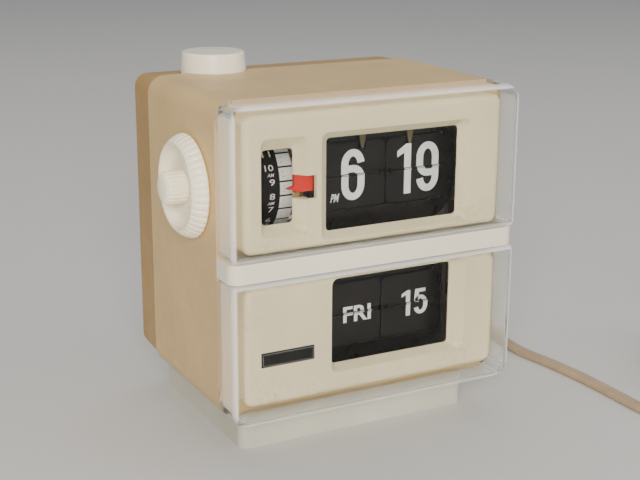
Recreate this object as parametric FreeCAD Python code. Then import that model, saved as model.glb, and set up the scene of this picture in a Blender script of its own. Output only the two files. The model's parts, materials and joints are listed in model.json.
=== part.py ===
import FreeCAD, Part
import math
import os

# Flip number clock. Millimetres. X to the right as seen from the front, Y to the back, Z up.
# The origin is on the underside of the plinth, on the case's centre plane.

# ---------------------------------------------------------------- case
CASE_W = 130.0            # width of the case and lenses
CASE_H = 127.2            # height of the case above the plinth
PLINTH_H = 17.4           # height of the plinth under the case
CASE_R = 7.5              # outer corner radius, seen from the front
WALL = 2.2                # case wall
FACE_T = 2.0              # thickness of the front shell's face
FRONT_Y = -53.5           # front plane of both lenses
LENS_DEPTH = 14.6         # lens front to case face
SHELL_DEPTH = 68.9        # case face to seam
COVER_DEPTH = 23.2        # seam to rear
COVER_INSET = 0.6         # step in at the seam
COVER_TAPER = 1.3         # further inset at the rear
COVER_EDGE_R = 3.5        # rear edge radius

CASE_X = CASE_W / 2
CASE_Z0 = PLINTH_H
CASE_Z1 = PLINTH_H + CASE_H
FACE_Y = FRONT_Y + LENS_DEPTH
SEAM_Y = FACE_Y + SHELL_DEPTH
REAR_Y = SEAM_Y + COVER_DEPTH

# ---------------------------------------------------------------- plinth
PLINTH_SIDE = 11.1        # plinth set in from each side of the case
PLINTH_BACK = 6.8         # set in from the rear
PLINTH_FRONT = 3.9        # set back from the case face
PLINTH_R = 4.0
PLINTH_WALL = 2.2
PLATE_T = 2.5             # base plate
PLATE_LEDGE = 1.2         # ledge that the base plate sits against
PLATE_GAP = 0.15
SCREW_INSET = 9.0         # base screw from the plinth's corner
BASE_SCREW_R = 1.2
BASE_SCREW_HEAD_R = 2.6
BASE_SCREW_HEAD_T = 1.6
BOSS_R = 3.5

# ---------------------------------------------------------------- lenses, bar, bezels
BAR_H = 7.8               # bar between the lenses
BAR_Z0 = 76.3
BAR_SET_BACK = 1.0        # bar front behind the lens front
BAR_R = 4.5
LENS_T = 1.5
LENS_EDGE_R = 2.6
LENS_INNER_R = 1.2
LENS_BAR_R = 2.5          # lens corner radius next to the bar

BEZEL_GAP = 7.0           # bezel to case side
BEZEL_SET_BACK = 3.8      # bezel front behind the lens front
BEZEL_T = 1.8
BEZEL_R = 4.0
BEZEL_EDGE_R = 2.8
UPPER_BEZEL_TOP = 4.6     # below the case top
UPPER_BEZEL_BOTTOM = 1.8  # above the bar
LOWER_BEZEL_TOP = 3.3     # below the bar
LOWER_BEZEL_BOTTOM = 6.6  # above the case bottom
JAMB_T = 1.2
BEZEL_Y = FRONT_Y + BEZEL_SET_BACK

# ---------------------------------------------------------------- leaf displays
AXIS_BACK = 25.6          # drum axis behind the lens front
LEAF_RADIUS = 10.0        # leaf hinge from the drum axis
LEAF_T = 0.4
LEAF_H = 13.4             # leaf height from the split
LEAF_CORNER = 2.5
TIME_Z = 110.2            # split of the hour and minute leaves
CALENDAR_Z = 52.0         # split of the day and date leaves
HOUR_X = (-19.6, 9.8)
MINUTE_X = (10.4, 38.3)
DAY_X = (-17.9, 8.7)
DATE_X = (9.3, 36.2)
HINGE_PIN_R = 0.4
SPOOL_R = 9.2
SPOOL_DISC_T = 0.8
SPOOL_HUB_R = 3.4
RAIL_W = 0.8              # side rails that carry the resting leaves
RAIL_R = (8.7, 9.7)
RAIL_IN = 1.9             # rail from the leaf's side edge
EYE_R = 1.0               # hinge eye on each rail
EYE_NOTCH = 3.1           # leaf corner cut away round the eye
UPPER_LEAVES = 7
LOWER_LEAVES = 5
FAN_START = 30.0
FAN_STEP = 9.0
FAN_TILT = 0.55
AXLE_R = 1.5
RUN_GAP = 0.05            # radial running clearance
AXIS_Y = FRONT_Y + AXIS_BACK
HINGE_Y = AXIS_Y - LEAF_RADIUS

TIME_WINDOW = (-21.4, 38.9, 91.2, 128.2)        # inner edge: x0, x1, z0, z1
TIME_BEVEL = (4.0, 4.0, 2.6, 3.0)               # left, right, bottom, top
CALENDAR_WINDOW = (-18.5, 37.0, 35.2, 71.0)
CALENDAR_BEVEL = (2.0, 6.0, 2.4, 1.2)
DIAL_WINDOW = (-48.8, -35.6, 96.4, 125.7)
DIAL_BEVEL = (2.4, 4.0, 3.8, 5.1)
WINDOW_DEPTH = 3.9        # bezel front to the window's inner edge
DIAL_DEPTH = 4.7

MASK_GAP = 1.5            # hinge line to mask front
MASK_T = 0.8
TIME_MASK = (-24.0, 44.6, 87.0, 130.0)
TIME_MASK_R = 16.0
CALENDAR_MASK = (-22.0, 39.8, 31.2, 73.0)
CALENDAR_MASK_R = 9.5
MASK_LEFT_R = 3.0
CATCH_X = (-1.0, 21.1)
CATCH_TIP = 10.9          # catch tip above the split
CATCH_W = 2.6
NOTCH_W = 3.4
NOTCH_H = 2.9

# ---------------------------------------------------------------- movement
PLATE_X = (-23.5, 41.0)   # outer faces start here
FRAME_T = 1.5
FRAME_TOP = 134.0
FRAME_BACK = 14.0
ROD_R = 1.6
ROD_BEHIND = 11.5         # rods behind the drum axis
GEAR_M = 0.4
SET_M = 0.5
MINUTE_TEETH = 48
PINION_TEETH = 12
SET_WHEEL_TEETH = 37
SET_PINION_TEETH = 18
GEAR_T = 2.0
MINUTE_WHEEL_X = 45.0
SET_WHEEL_X = -28.0
PINION_ANGLE = -21.0      # motor pinion seen from the minute axis, degrees up from +Y
MOTOR_R = 17.0
MOTOR_OFFSET = 9.0
MOTOR_X0 = 48.5
MOTOR_GAP = 1.8           # motor to the case wall
BUZZER_X = -44.0
BUZZER_Y = -9.0
BUZZER_R = 9.0

# ---------------------------------------------------------------- alarm
DIAL_DROP = 2.7           # dial axis below the time split
DIAL_R = 21.7
DIAL_X = (-51.8, -30.4)
DIAL_RIM = 1.5
ALARM_SHAFT_R = 3.0
TIME_SHAFT_R = 1.4
KNOB_GAP = 0.3
RING_R = 20.9             # ring knob radius next to the case
RING_FACE_R = 18.7
RING_DEPTH = 6.5
RING_DISH_R = 16.2
RING_DISH_FLOOR = 2.2
TIME_KNOB_R = 6.7
TIME_KNOB_LEN = 10.0
BUSH_R = 5.5
CAM_R = 6.0
SET_DISTANCE = SET_M * (SET_WHEEL_TEETH + SET_PINION_TEETH) / 2
DIAL_Z = TIME_Z - DIAL_DROP
DIAL_Y = AXIS_Y + math.sqrt(SET_DISTANCE ** 2 - DIAL_DROP ** 2)

# ---------------------------------------------------------------- calendar knobs
DATE_KNOB_R = 6.0
DATE_KNOB_LEN = 4.0
DAY_KNOB_R = 3.6
DAY_KNOB_LEN = 2.2
DATE_SHAFT_R = 2.6

# ---------------------------------------------------------------- top button
BUTTON_X = -32.8
BUTTON_BACK = 5.5         # button centre behind the seam
BUTTON_R = 14.2
BUTTON_TOP_R = 13.5
BUTTON_TRAVEL = 4.0
BUTTON_LEFT = 4.0         # rise left above the case when pressed
BUTTON_RISE = BUTTON_TRAVEL + BUTTON_LEFT
BUTTON_HOLE_GAP = 0.4
BUTTON_FLANGE = 1.0       # flange wider than the button
FLANGE_DROP = 3.2         # flange below the case's inner top
BUTTON_STEM_R = 2.5
STEM_LEN = 24.0
GUIDE_T = 2.0
SPRING_R = 4.6
SPRING_WIRE_R = 0.45
SPRING_TURNS = 5
BUTTON_Y = SEAM_Y + BUTTON_BACK

# ---------------------------------------------------------------- cord
CORD_D = 6.2              # width of the flat twin cord
CORD_T = 3.2              # its thickness
CORD_EXIT = (36.0, 27.0)  # x and z of the strain relief
RELIEF_LEN = 26.8
COIL_CENTRE = (180.0, -70.6)
COIL_R = (21.0, 39.6)
COIL_LAYERS = 4
CORD_POINTS = [
    (36.0, 80.0, 27.0), (36.0, 94.7, 27.0), (42.7, 106.3, 21.0), (54.3, 113.0, 11.5), (70.0, 113.2, 3.6), (90.0, 112.5, 3.1),
    (108.7, 111.5, 3.1), (121.3, 104.3, 3.1), (128.5, 91.7, 3.1), (129.0, 73.0, 3.1), (125.0, 52.0, 3.1), (119.0, 35.0, 3.1),
    (113.5, 18.0, 3.1), (112.0, 0.0, 3.1), (115.5, -19.0, 3.1), (117.3, -40.0, 3.1), (117.5, -62.0, 3.1),
    (117.0, -85.5, 3.1), (124.2, -98.3, 3.1), (136.8, -105.5, 3.1), (152.0, -106.0, 3.1),
]


# ================================================================ helpers
def V(x, y, z):
    return FreeCAD.Vector(x, y, z)


def box(x0, x1, y0, y1, z0, z1):
    return Part.makeBox(x1 - x0, y1 - y0, z1 - z0, V(x0, y0, z0))


def cyl_x(y, z, r, x0, x1):
    return Part.makeCylinder(r, x1 - x0, V(x0, y, z), V(1, 0, 0))


def cyl_y(x, z, r, y0, y1):
    return Part.makeCylinder(r, y1 - y0, V(x, y0, z), V(0, 1, 0))


def cyl_z(x, y, r, z0, z1):
    return Part.makeCylinder(r, z1 - z0, V(x, y, z0), V(0, 0, 1))


def tube_x(y, z, r_out, r_in, x0, x1):
    return cyl_x(y, z, r_out, x0, x1).cut(cyl_x(y, z, r_in, x0 - 1, x1 + 1))


def rounded_wire(a0, a1, b0, b1, radii, place):
    """Rounded rectangle; radii run lower left, lower right, upper right, upper left."""
    ll, lr, ur, ul = radii
    corners = [(a0, b0, ll, 180), (a1, b0, lr, 270), (a1, b1, ur, 0), (a0, b1, ul, 90)]
    signs = [(1, 1), (-1, 1), (-1, -1), (1, -1)]
    arcs = []
    for (a, b, r, start), (sa, sb) in zip(corners, signs):
        ca, cb = a + sa * r, b + sb * r
        pts = [place(ca + r * math.cos(math.radians(start + t)), cb + r * math.sin(math.radians(start + t)))
               for t in (0, 45, 90)]
        arcs.append(pts)
    edges = []
    for i, pts in enumerate(arcs):
        edges.append(Part.Arc(*pts).toShape())
        edges.append(Part.LineSegment(pts[2], arcs[(i + 1) % 4][0]).toShape())
    return Part.Wire(edges)


def wire_xz(x0, x1, z0, z1, radii, y):
    return rounded_wire(x0, x1, z0, z1, radii, lambda a, b: V(a, y, b))


def four(r):
    return (r, r, r, r)


def prism_y(x0, x1, z0, z1, radii, y0, y1):
    return Part.Face(wire_xz(x0, x1, z0, z1, radii, y0)).extrude(V(0, y1 - y0, 0))


def prism_z(x0, x1, y0, y1, r, z0, z1):
    wire = rounded_wire(x0, x1, y0, y1, four(r), lambda a, b: V(a, b, z0))
    return Part.Face(wire).extrude(V(0, 0, z1 - z0))


def fillet_plane_y(shape, y, r):
    edges = [e for e in shape.Edges if all(abs(v.Point.y - y) < 1e-4 for v in e.Vertexes)]
    return shape.makeFillet(r, edges)


def fillet_plane_z(shape, z, r):
    edges = [e for e in shape.Edges if all(abs(v.Point.z - z) < 1e-4 for v in e.Vertexes)]
    return shape.makeFillet(r, edges)


def grow(rect, amounts):
    left, right, bottom, top = amounts
    return (rect[0] - left, rect[1] + right, rect[2] - bottom, rect[3] + top)


def polygon_yz(points, x0, x1):
    pts = [V(x0, y, z) for y, z in points]
    return Part.Face(Part.makePolygon(pts + pts[:1])).extrude(V(x1 - x0, 0, 0))


def polygon_xz(points, y0, y1):
    pts = [V(x, y0, z) for x, z in points]
    return Part.Face(Part.makePolygon(pts + pts[:1])).extrude(V(0, y1 - y0, 0))


def gear_x(y, z, module, teeth, x0, bore, tooth_at):
    """Spur gear about X with a tooth centred at the angle tooth_at, in degrees from +Y towards +Z."""
    pitch_r = module * teeth / 2
    root_r = pitch_r - 1.2 * module
    tip_r = pitch_r + 0.9 * module
    step = 2 * math.pi / teeth
    points = []
    for i in range(teeth):
        centre = math.radians(tooth_at) + i * step
        for radius, half in ((root_r, 0.33), (pitch_r, 0.22), (tip_r, 0.10)):
            points.append((radius, centre - half * step))
        for radius, half in ((tip_r, 0.10), (pitch_r, 0.22), (root_r, 0.33)):
            points.append((radius, centre + half * step))
    outline = [(y + r * math.cos(a), z + r * math.sin(a)) for r, a in points]
    return polygon_yz(outline, x0, x0 + GEAR_T).cut(cyl_x(y, z, bore, x0 - 1, x0 + GEAR_T + 1))


parts = {}


def put(name, shape):
    parts[name] = shape


def group(shapes):
    return Part.makeCompound(shapes)


# ================================================================ case shells
def case_screws():
    """Positions of the four long screws that hold the rear cover."""
    side = CASE_X - 10.0
    return [(sx * side, z) for sx in (-1, 1) for z in (CASE_Z0 + 9.6, CASE_Z1 - 9.6)]


BOSS_Y0 = SEAM_Y - 22.0
SCREW_R = 1.5
SCREW_HEAD_R = 2.7
COUNTERBORE = 4.0


def make_front_shell():
    outer = prism_y(-CASE_X, CASE_X, CASE_Z0, CASE_Z1, four(CASE_R), FACE_Y, SEAM_Y)
    inner = prism_y(-CASE_X + WALL, CASE_X - WALL, CASE_Z0 + WALL, CASE_Z1 - WALL, four(CASE_R - WALL),
                    FACE_Y + FACE_T, SEAM_Y + 1)
    shell = outer.cut(inner)
    for x, z in case_screws():
        shell = shell.fuse(cyl_y(x, z, BOSS_R, BOSS_Y0, SEAM_Y))
        web = box(min(x, math.copysign(CASE_X - WALL / 2, x)), max(x, math.copysign(CASE_X - WALL / 2, x)),
                  BOSS_Y0, SEAM_Y, z - 1, z + 1)
        shell = shell.fuse(web).cut(cyl_y(x, z, SCREW_R, BOSS_Y0 + 2, SEAM_Y + 1))
    for rect in (grow(TIME_MASK, (5.5, 2.4, 1.2, 3)), grow(CALENDAR_MASK, (4, 7, 3, -1))):
        shell = shell.cut(prism_y(*rect, four(3), FACE_Y - 1, FACE_Y + FACE_T + 1))
    dial = grow(DIAL_WINDOW, (4, 4, 6, 6))
    shell = shell.cut(prism_y(*dial, four(3), FACE_Y - 1, FACE_Y + FACE_T + 1))
    shell = shell.cut(cyl_x(DIAL_Y, DIAL_Z, BUSH_R - 1.5, -CASE_X - 1, -CASE_X + WALL + 1))
    shell = shell.cut(cyl_x(AXIS_Y, CALENDAR_Z, DATE_SHAFT_R + 1.5, CASE_X - WALL - 1, CASE_X + 1))
    return shell.cut(cyl_z(BUTTON_X, BUTTON_Y, BUTTON_R + BUTTON_HOLE_GAP, CASE_Z1 - WALL - 1, CASE_Z1 + 1))


def tapered(y0, y1, inset0, inset1, radius):
    wires = []
    for y, inset in ((y0, inset0), (y1, inset1)):
        wires.append(wire_xz(-CASE_X + inset, CASE_X - inset, CASE_Z0 + inset, CASE_Z1 - inset,
                             four(radius - inset), y))
    return Part.makeLoft(wires, True, True)


def make_rear_cover():
    rear_inset = COVER_INSET + COVER_TAPER
    outer = fillet_plane_y(tapered(SEAM_Y, REAR_Y, COVER_INSET, rear_inset, CASE_R), REAR_Y, COVER_EDGE_R)
    inner = tapered(SEAM_Y, REAR_Y - WALL, COVER_INSET + WALL, rear_inset + WALL, CASE_R)
    cover = outer.cut(inner)
    for x, z in case_screws():
        cover = cover.fuse(cyl_y(x, z, BOSS_R, SEAM_Y, REAR_Y - WALL / 2))
        cover = cover.cut(cyl_y(x, z, SCREW_R + 0.2, SEAM_Y - 1, REAR_Y + 1))
        cover = cover.cut(cyl_y(x, z, SCREW_HEAD_R + 0.2, REAR_Y - COUNTERBORE, REAR_Y + 1))
    cover = cover.cut(cyl_z(BUTTON_X, BUTTON_Y, BUTTON_R + BUTTON_HOLE_GAP, CASE_Z1 - 8, CASE_Z1 + 1))
    cover = cover.cut(cyl_y(*CORD_EXIT, 4.2, REAR_Y - WALL - 1, REAR_Y + 1))
    for i in range(6):
        z = CASE_Z0 + 45 + 6 * i
        cover = cover.cut(prism_y(-28, 28, z, z + 2.2, four(1.0), REAR_Y - WALL - 1, REAR_Y + 1))
    return cover


def make_cover_screws():
    screws = []
    for x, z in case_screws():
        shank = cyl_y(x, z, SCREW_R, BOSS_Y0 + 3, REAR_Y - COUNTERBORE)
        head = cyl_y(x, z, SCREW_HEAD_R, REAR_Y - COUNTERBORE, REAR_Y - COUNTERBORE + 2.0)
        slot = box(x - 0.4, x + 0.4, REAR_Y - COUNTERBORE + 1.2, REAR_Y, z - 3, z + 3)
        screws.append(shank.fuse(head).cut(slot))
    return group(screws)


def plinth_rect(inset):
    return (-CASE_X + PLINTH_SIDE + inset, CASE_X - PLINTH_SIDE - inset,
            FACE_Y + PLINTH_FRONT + inset, REAR_Y - PLINTH_BACK - inset)


def base_screws():
    x0, x1, y0, y1 = plinth_rect(SCREW_INSET)
    return [(x, y) for x in (x0, x1) for y in (y0, y1)]


def make_plinth():
    body = prism_z(*plinth_rect(0), PLINTH_R, 0, PLINTH_H)
    body = body.cut(prism_z(*plinth_rect(PLINTH_WALL), PLINTH_R - PLINTH_WALL, -1, PLINTH_H - PLINTH_WALL))
    for x, y in base_screws():
        body = body.fuse(cyl_z(x, y, BOSS_R, PLATE_T, PLINTH_H - PLINTH_WALL / 2))
        body = body.cut(cyl_z(x, y, BASE_SCREW_R, PLATE_T - 1, PLINTH_H - PLINTH_WALL))
    return body.cut(prism_z(*plinth_rect(PLINTH_WALL - PLATE_LEDGE), PLINTH_R - 1, -1, PLATE_T))


def make_base_plate():
    rect = plinth_rect(PLINTH_WALL - PLATE_LEDGE + PLATE_GAP)
    plate = prism_z(*rect, PLINTH_R - 1 - PLATE_GAP, 0, PLATE_T)
    for x, y in base_screws():
        plate = plate.cut(cyl_z(x, y, BASE_SCREW_R + 0.2, -1, PLATE_T + 1))
        plate = plate.cut(cyl_z(x, y, BASE_SCREW_HEAD_R + 0.2, -1, BASE_SCREW_HEAD_T))
    return plate


def make_base_screws():
    screws = []
    for x, y in base_screws():
        head = cyl_z(x, y, BASE_SCREW_HEAD_R, 0.1, BASE_SCREW_HEAD_T)
        shank = cyl_z(x, y, BASE_SCREW_R, 0.1, PLINTH_H - PLINTH_WALL - 3)
        screws.append(head.fuse(shank).cut(box(x - 3, x + 3, y - 0.3, y + 0.3, 0, 0.7)))
    return group(screws)


# ================================================================ front: bar, lenses, bezels
def make_bar():
    y0 = FRONT_Y + BAR_SET_BACK
    z1 = BAR_Z0 + BAR_H
    block = prism_z(-CASE_X, CASE_X, y0, FACE_Y + 2 * BAR_R, BAR_R, BAR_Z0, z1)
    block = block.cut(box(-CASE_X - 1, CASE_X + 1, FACE_Y, FACE_Y + 3 * BAR_R, BAR_Z0 - 1, z1 + 1))
    inner = prism_z(-CASE_X + WALL, CASE_X - WALL, y0 + WALL, FACE_Y + 3 * BAR_R, BAR_R - WALL,
                    BAR_Z0 + WALL, z1 - WALL)
    return block.cut(inner)


def make_lens(z0, z1, radii):
    outer = prism_y(-CASE_X, CASE_X, z0, z1, radii, FRONT_Y, FACE_Y)
    outer = fillet_plane_y(outer, FRONT_Y, min(LENS_EDGE_R, min(radii) + 0.4))
    inner = prism_y(-CASE_X + LENS_T, CASE_X - LENS_T, z0 + LENS_T, z1 - LENS_T,
                    tuple(max(r - LENS_T, 1.4) for r in radii), FRONT_Y + LENS_T, FACE_Y + 1)
    return outer.cut(fillet_plane_y(inner, FRONT_Y + LENS_T, LENS_INNER_R))


def window_solids(rect, bevel, depth, y0):
    """The jamb that stands behind a bezel window, and the bevelled hole through both."""
    front = grow(rect, bevel)
    jamb = prism_y(*grow(front, four(JAMB_T)), four(3.0), y0, y0 + depth + 0.2)
    slope = [side / depth for side in bevel]
    ahead = grow(front, tuple(s * 0.5 for s in slope))
    funnel = Part.makeLoft([wire_xz(*ahead, four(3.0), y0 - 0.5), wire_xz(*rect, four(1.6), y0 + depth)],
                           True, True)
    through = prism_y(*rect, four(1.6), y0 + depth - 0.01, FACE_Y + 1)
    return jamb, funnel.fuse(through)


def make_bezel(z0, z1, windows):
    x1 = CASE_X - BEZEL_GAP
    outer = fillet_plane_y(prism_y(-x1, x1, z0, z1, four(BEZEL_R), BEZEL_Y, FACE_Y), BEZEL_Y, BEZEL_EDGE_R)
    t = BEZEL_T
    inner = prism_y(-x1 + t, x1 - t, z0 + t, z1 - t, four(BEZEL_R - t), BEZEL_Y + t, FACE_Y + 1)
    bezel = outer.cut(inner)
    holes = []
    for rect, bevel, depth in windows:
        jamb, hole = window_solids(rect, bevel, depth, BEZEL_Y)
        bezel = bezel.fuse(jamb.common(outer))
        holes.append(hole)
    for hole in holes:
        bezel = bezel.cut(hole)
    return bezel


POINTER_Z = 111.8
POINTER_H = 6.9
POINTER_TIP_X = -38.9
POINTER_HEAD_X = DIAL_WINDOW[1] + 0.1
POINTER_TAIL_X = -27.6
POINTER_TIP_DROP = 1.8    # needle's tip below the block's middle
POINTER_NEEDLE = 1.6      # needle's height where it leaves the block
POINTER_Y = (-46.6, -44.8)


def make_alarm_pointer():
    half = POINTER_H / 2
    needle = POINTER_Z - POINTER_TIP_DROP
    outline = [(POINTER_TIP_X, needle), (POINTER_HEAD_X, needle + POINTER_NEEDLE / 2),
               (POINTER_HEAD_X, POINTER_Z + half), (POINTER_TAIL_X, POINTER_Z + half),
               (POINTER_TAIL_X, POINTER_Z - half), (POINTER_HEAD_X, POINTER_Z - half),
               (POINTER_HEAD_X, needle - POINTER_NEEDLE / 2)]
    return polygon_xz(outline, *POINTER_Y)


def make_upper_bezel():
    z0 = BAR_Z0 + BAR_H + UPPER_BEZEL_BOTTOM
    bezel = make_bezel(z0, CASE_Z1 - UPPER_BEZEL_TOP,
                       [(TIME_WINDOW, TIME_BEVEL, WINDOW_DEPTH), (DIAL_WINDOW, DIAL_BEVEL, DIAL_DEPTH)])
    slot_x0 = DIAL_WINDOW[1] - 0.5
    return bezel.cut(box(slot_x0, POINTER_TAIL_X, BEZEL_Y - 1, FACE_Y,
                         POINTER_Z - POINTER_H / 2 - 2.4, POINTER_Z + POINTER_H / 2))


def make_name_plate():
    return prism_y(-51.6, -28.4, 40.4, 46.4, four(0.8), BEZEL_Y - 0.4, BEZEL_Y)


# ================================================================ leaf displays
def make_mask(rect, right_r, cutout):
    y0 = HINGE_Y + MASK_GAP
    mask = prism_y(*rect, (MASK_LEFT_R, right_r, right_r, MASK_LEFT_R), y0, y0 + MASK_T)
    return mask.cut(prism_y(*cutout, four(1.0), y0 - 1, y0 + MASK_T + 1))


def cutout_for(x0, x1, z):
    return (x0 - 0.8, x1 + 0.6, z - LEAF_H - 0.8, z + LEAF_H + 0.8)


def make_catches():
    y_mask = HINGE_Y + MASK_GAP
    y_tongue = HINGE_Y - 0.6
    tongues = []
    for x in CATCH_X:
        z_arm = TIME_Z + LEAF_H + 1.4
        outline = [(x - CATCH_W / 2, z_arm + 3), (x + CATCH_W / 2, z_arm + 3), (x + CATCH_W / 2, z_arm),
                   (x + 0.4, TIME_Z + CATCH_TIP), (x - 0.4, TIME_Z + CATCH_TIP), (x - CATCH_W / 2, z_arm)]
        tongue = polygon_xz(outline, y_tongue, y_tongue + 0.6)
        tongues.append(tongue.fuse(box(x - CATCH_W / 2, x + CATCH_W / 2, y_tongue, y_mask, z_arm + 1, z_arm + 3)))
    return group(tongues)


def flat_leaf(x0, x1, y0, z0, z1, sharp_low):
    low, high = (0.3, LEAF_CORNER) if sharp_low else (LEAF_CORNER, 0.3)
    return prism_y(x0, x1, z0, z1, (low, low, high, high), y0, y0 + LEAF_T)


def make_moving_leaf(span, z, notch_x):
    """Upper front leaf with its hinge pin; it falls forward through half a turn."""
    x0, x1 = span
    leaf = flat_leaf(x0, x1, HINGE_Y + 0.3, z + 0.2, z + LEAF_H, True)
    for corner in (x0 - 1, x1 - EYE_NOTCH):
        leaf = leaf.cut(box(corner, corner + EYE_NOTCH + 1, HINGE_Y - 1, HINGE_Y + 2, z, z + EYE_R + 0.4))
    pin = cyl_x(HINGE_Y, z, HINGE_PIN_R, x0 + RAIL_IN - 0.2, x1 - RAIL_IN + 0.2)
    knuckle = box(x0 + EYE_NOTCH + 0.1, x1 - EYE_NOTCH - 0.1, HINGE_Y, HINGE_Y + 0.3 + LEAF_T, z, z + 0.6)
    leaf = leaf.fuse(pin.fuse(knuckle))
    if notch_x is not None:
        leaf = leaf.cut(box(notch_x - NOTCH_W / 2, notch_x + NOTCH_W / 2, HINGE_Y - 1, HINGE_Y + 2,
                            z + LEAF_H - NOTCH_H, z + LEAF_H + 1))
    return leaf


def fan_leaf(x0, x1, z, angle, sign):
    """One resting leaf, its root on the drum's rim, leaning back with its angle from the front."""
    root_r = LEAF_RADIUS - 0.1
    y_root = AXIS_Y - root_r * math.cos(math.radians(angle))
    z_root = z + sign * root_r * math.sin(math.radians(angle))
    tilt = math.radians(angle * FAN_TILT)
    along = (math.sin(tilt), sign * math.cos(tilt))
    across = (math.cos(tilt), -sign * math.sin(tilt))
    ends = [(0, 0), (0, LEAF_T), (LEAF_H, LEAF_T), (LEAF_H, 0)]
    pts = [(y_root + a * along[0] + b * across[0], z_root + a * along[1] + b * across[1]) for a, b in ends]
    return polygon_yz(pts, x0, x1)


def make_leaf_stack(span, z):
    """Leaves at rest behind and below the moving one, on two open side rails held by a frame rod."""
    x0, x1 = span
    leaves = [flat_leaf(x0, x1, HINGE_Y + 0.1, z - LEAF_H, z - 0.6, False)]
    for i in range(UPPER_LEAVES):
        leaves.append(fan_leaf(x0, x1, z, FAN_START + FAN_STEP * i, 1))
    for i in range(LOWER_LEAVES):
        leaves.append(fan_leaf(x0, x1, z, FAN_START + FAN_STEP * i, -1))
    for rail_x in (x0 + RAIL_IN, x1 - RAIL_IN - RAIL_W):
        rail = tube_x(AXIS_Y, z, RAIL_R[1] + 0.3, RAIL_R[0], rail_x, rail_x + RAIL_W)
        rail = rail.cut(box(rail_x - 1, rail_x + RAIL_W + 1, HINGE_Y - 3, AXIS_Y - 6, z, z + 4.4))
        rail = rail.fuse(cyl_x(HINGE_Y, z, EYE_R, rail_x, rail_x + RAIL_W))
        lug_y = AXIS_Y + ROD_BEHIND
        lug = box(rail_x, rail_x + RAIL_W, AXIS_Y + RAIL_R[0] + 0.3, lug_y + ROD_R + 1, z - 2.6, z + 2.6)
        leaves.append(rail.fuse(lug))
    stack = leaves[0].fuse(leaves[1:])
    stack = stack.cut(cyl_x(AXIS_Y + ROD_BEHIND, z, ROD_R, x0 - 1, x1 + 1))
    return stack.cut(cyl_x(HINGE_Y, z, HINGE_PIN_R + RUN_GAP, x0 - 1, x1 + 1))


def make_spool(span, z, bore):
    x0, x1 = span
    hub = cyl_x(AXIS_Y, z, SPOOL_HUB_R, x0 + 0.4, x1 - 0.4)
    for x in (x0 + 0.4, x1 - 0.4 - SPOOL_DISC_T):
        disc = cyl_x(AXIS_Y, z, SPOOL_R, x, x + SPOOL_DISC_T)
        for i in range(6):
            a = math.radians(60 * i + 30)
            disc = disc.cut(cyl_x(AXIS_Y + 6.2 * math.cos(a), z + 6.2 * math.sin(a), 1.6, x - 1, x + 2))
        hub = hub.fuse(disc)
    return hub.cut(cyl_x(AXIS_Y, z, bore, x0 - 1, x1 + 1))


# ================================================================ movement
LEFT_X = (PLATE_X[0], PLATE_X[0] + FRAME_T)
RIGHT_X = (PLATE_X[1], PLATE_X[1] + FRAME_T)
MASK_BACK_Y = HINGE_Y + MASK_GAP + MASK_T
ROD_Y = AXIS_Y + ROD_BEHIND
PINION_Y = AXIS_Y + GEAR_M * (MINUTE_TEETH + PINION_TEETH) / 2 * math.cos(math.radians(PINION_ANGLE))
PINION_Z = TIME_Z + GEAR_M * (MINUTE_TEETH + PINION_TEETH) / 2 * math.sin(math.radians(PINION_ANGLE))
PINION_SHAFT_R = 1.0


def rod_places():
    return [(ROD_Y, TIME_Z), (ROD_Y, CALENDAR_Z), (FRAME_BACK - 4, FRAME_TOP - 5), (FRAME_BACK - 4, CALENDAR_Z - 18)]


def make_frame_plate(x0, x1, shaft_holes):
    plate = box(x0, x1, MASK_BACK_Y, FRAME_BACK, CASE_Z0 + WALL, FRAME_TOP)
    for y, z in rod_places():
        plate = plate.cut(cyl_x(y, z, ROD_R - 0.5, x0 - 1, x1 + 1))
    for y, z, r in shaft_holes:
        plate = plate.cut(cyl_x(y, z, r, x0 - 1, x1 + 1))
    window = prism_y(x0 - 1, x1 + 1, 72, 92, four(0.5), AXIS_Y - 2, FRAME_BACK - 6)
    return plate.cut(window)


def make_rods():
    rods = []
    for y, z in rod_places():
        rod = cyl_x(y, z, ROD_R, LEFT_X[1], RIGHT_X[0])
        rods.append(rod.fuse(cyl_x(y, z, ROD_R - 0.5, LEFT_X[0], RIGHT_X[1])))
    return group(rods)


def make_motor():
    x1 = CASE_X - WALL - MOTOR_GAP
    y, z = PINION_Y + MOTOR_OFFSET, PINION_Z - 3.0
    can = cyl_x(y, z, MOTOR_R, MOTOR_X0, x1)
    rim = [e for e in can.Edges if all(abs(v.Point.x - x1) < 1e-6 for v in e.Vertexes) and e.Closed]
    can = can.makeFillet(1.5, rim[:1])
    for dy, dz in ((13.0, 4.0), (6.0, -13.0)):
        can = can.fuse(cyl_x(y + dy, z + dz, 2.0, RIGHT_X[1], MOTOR_X0 + 1))
    return can.cut(cyl_x(PINION_Y, PINION_Z, PINION_SHAFT_R + RUN_GAP, MOTOR_X0 - 1, MOTOR_X0 + 5))


def make_motor_pinion():
    facing = 180 + PINION_ANGLE
    pinion = gear_x(PINION_Y, PINION_Z, GEAR_M, PINION_TEETH, MINUTE_WHEEL_X, PINION_SHAFT_R,
                    facing + 180 / PINION_TEETH)
    return pinion.fuse(cyl_x(PINION_Y, PINION_Z, PINION_SHAFT_R, MINUTE_WHEEL_X - 0.5, MOTOR_X0 + 4))


def make_neon_lamp():
    bulb = cyl_x(-33.0, 80.2, 2.4, RIGHT_X[1] + 6, RIGHT_X[1] + 15)
    tip = Part.makeSphere(2.4, V(RIGHT_X[1] + 15, -33.0, 80.2))
    return bulb.fuse(tip)


def make_lamp_holder():
    return box(RIGHT_X[1], RIGHT_X[1] + 6, MASK_BACK_Y + 0.1, MASK_BACK_Y + 7, 76.4, 84.0)


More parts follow.
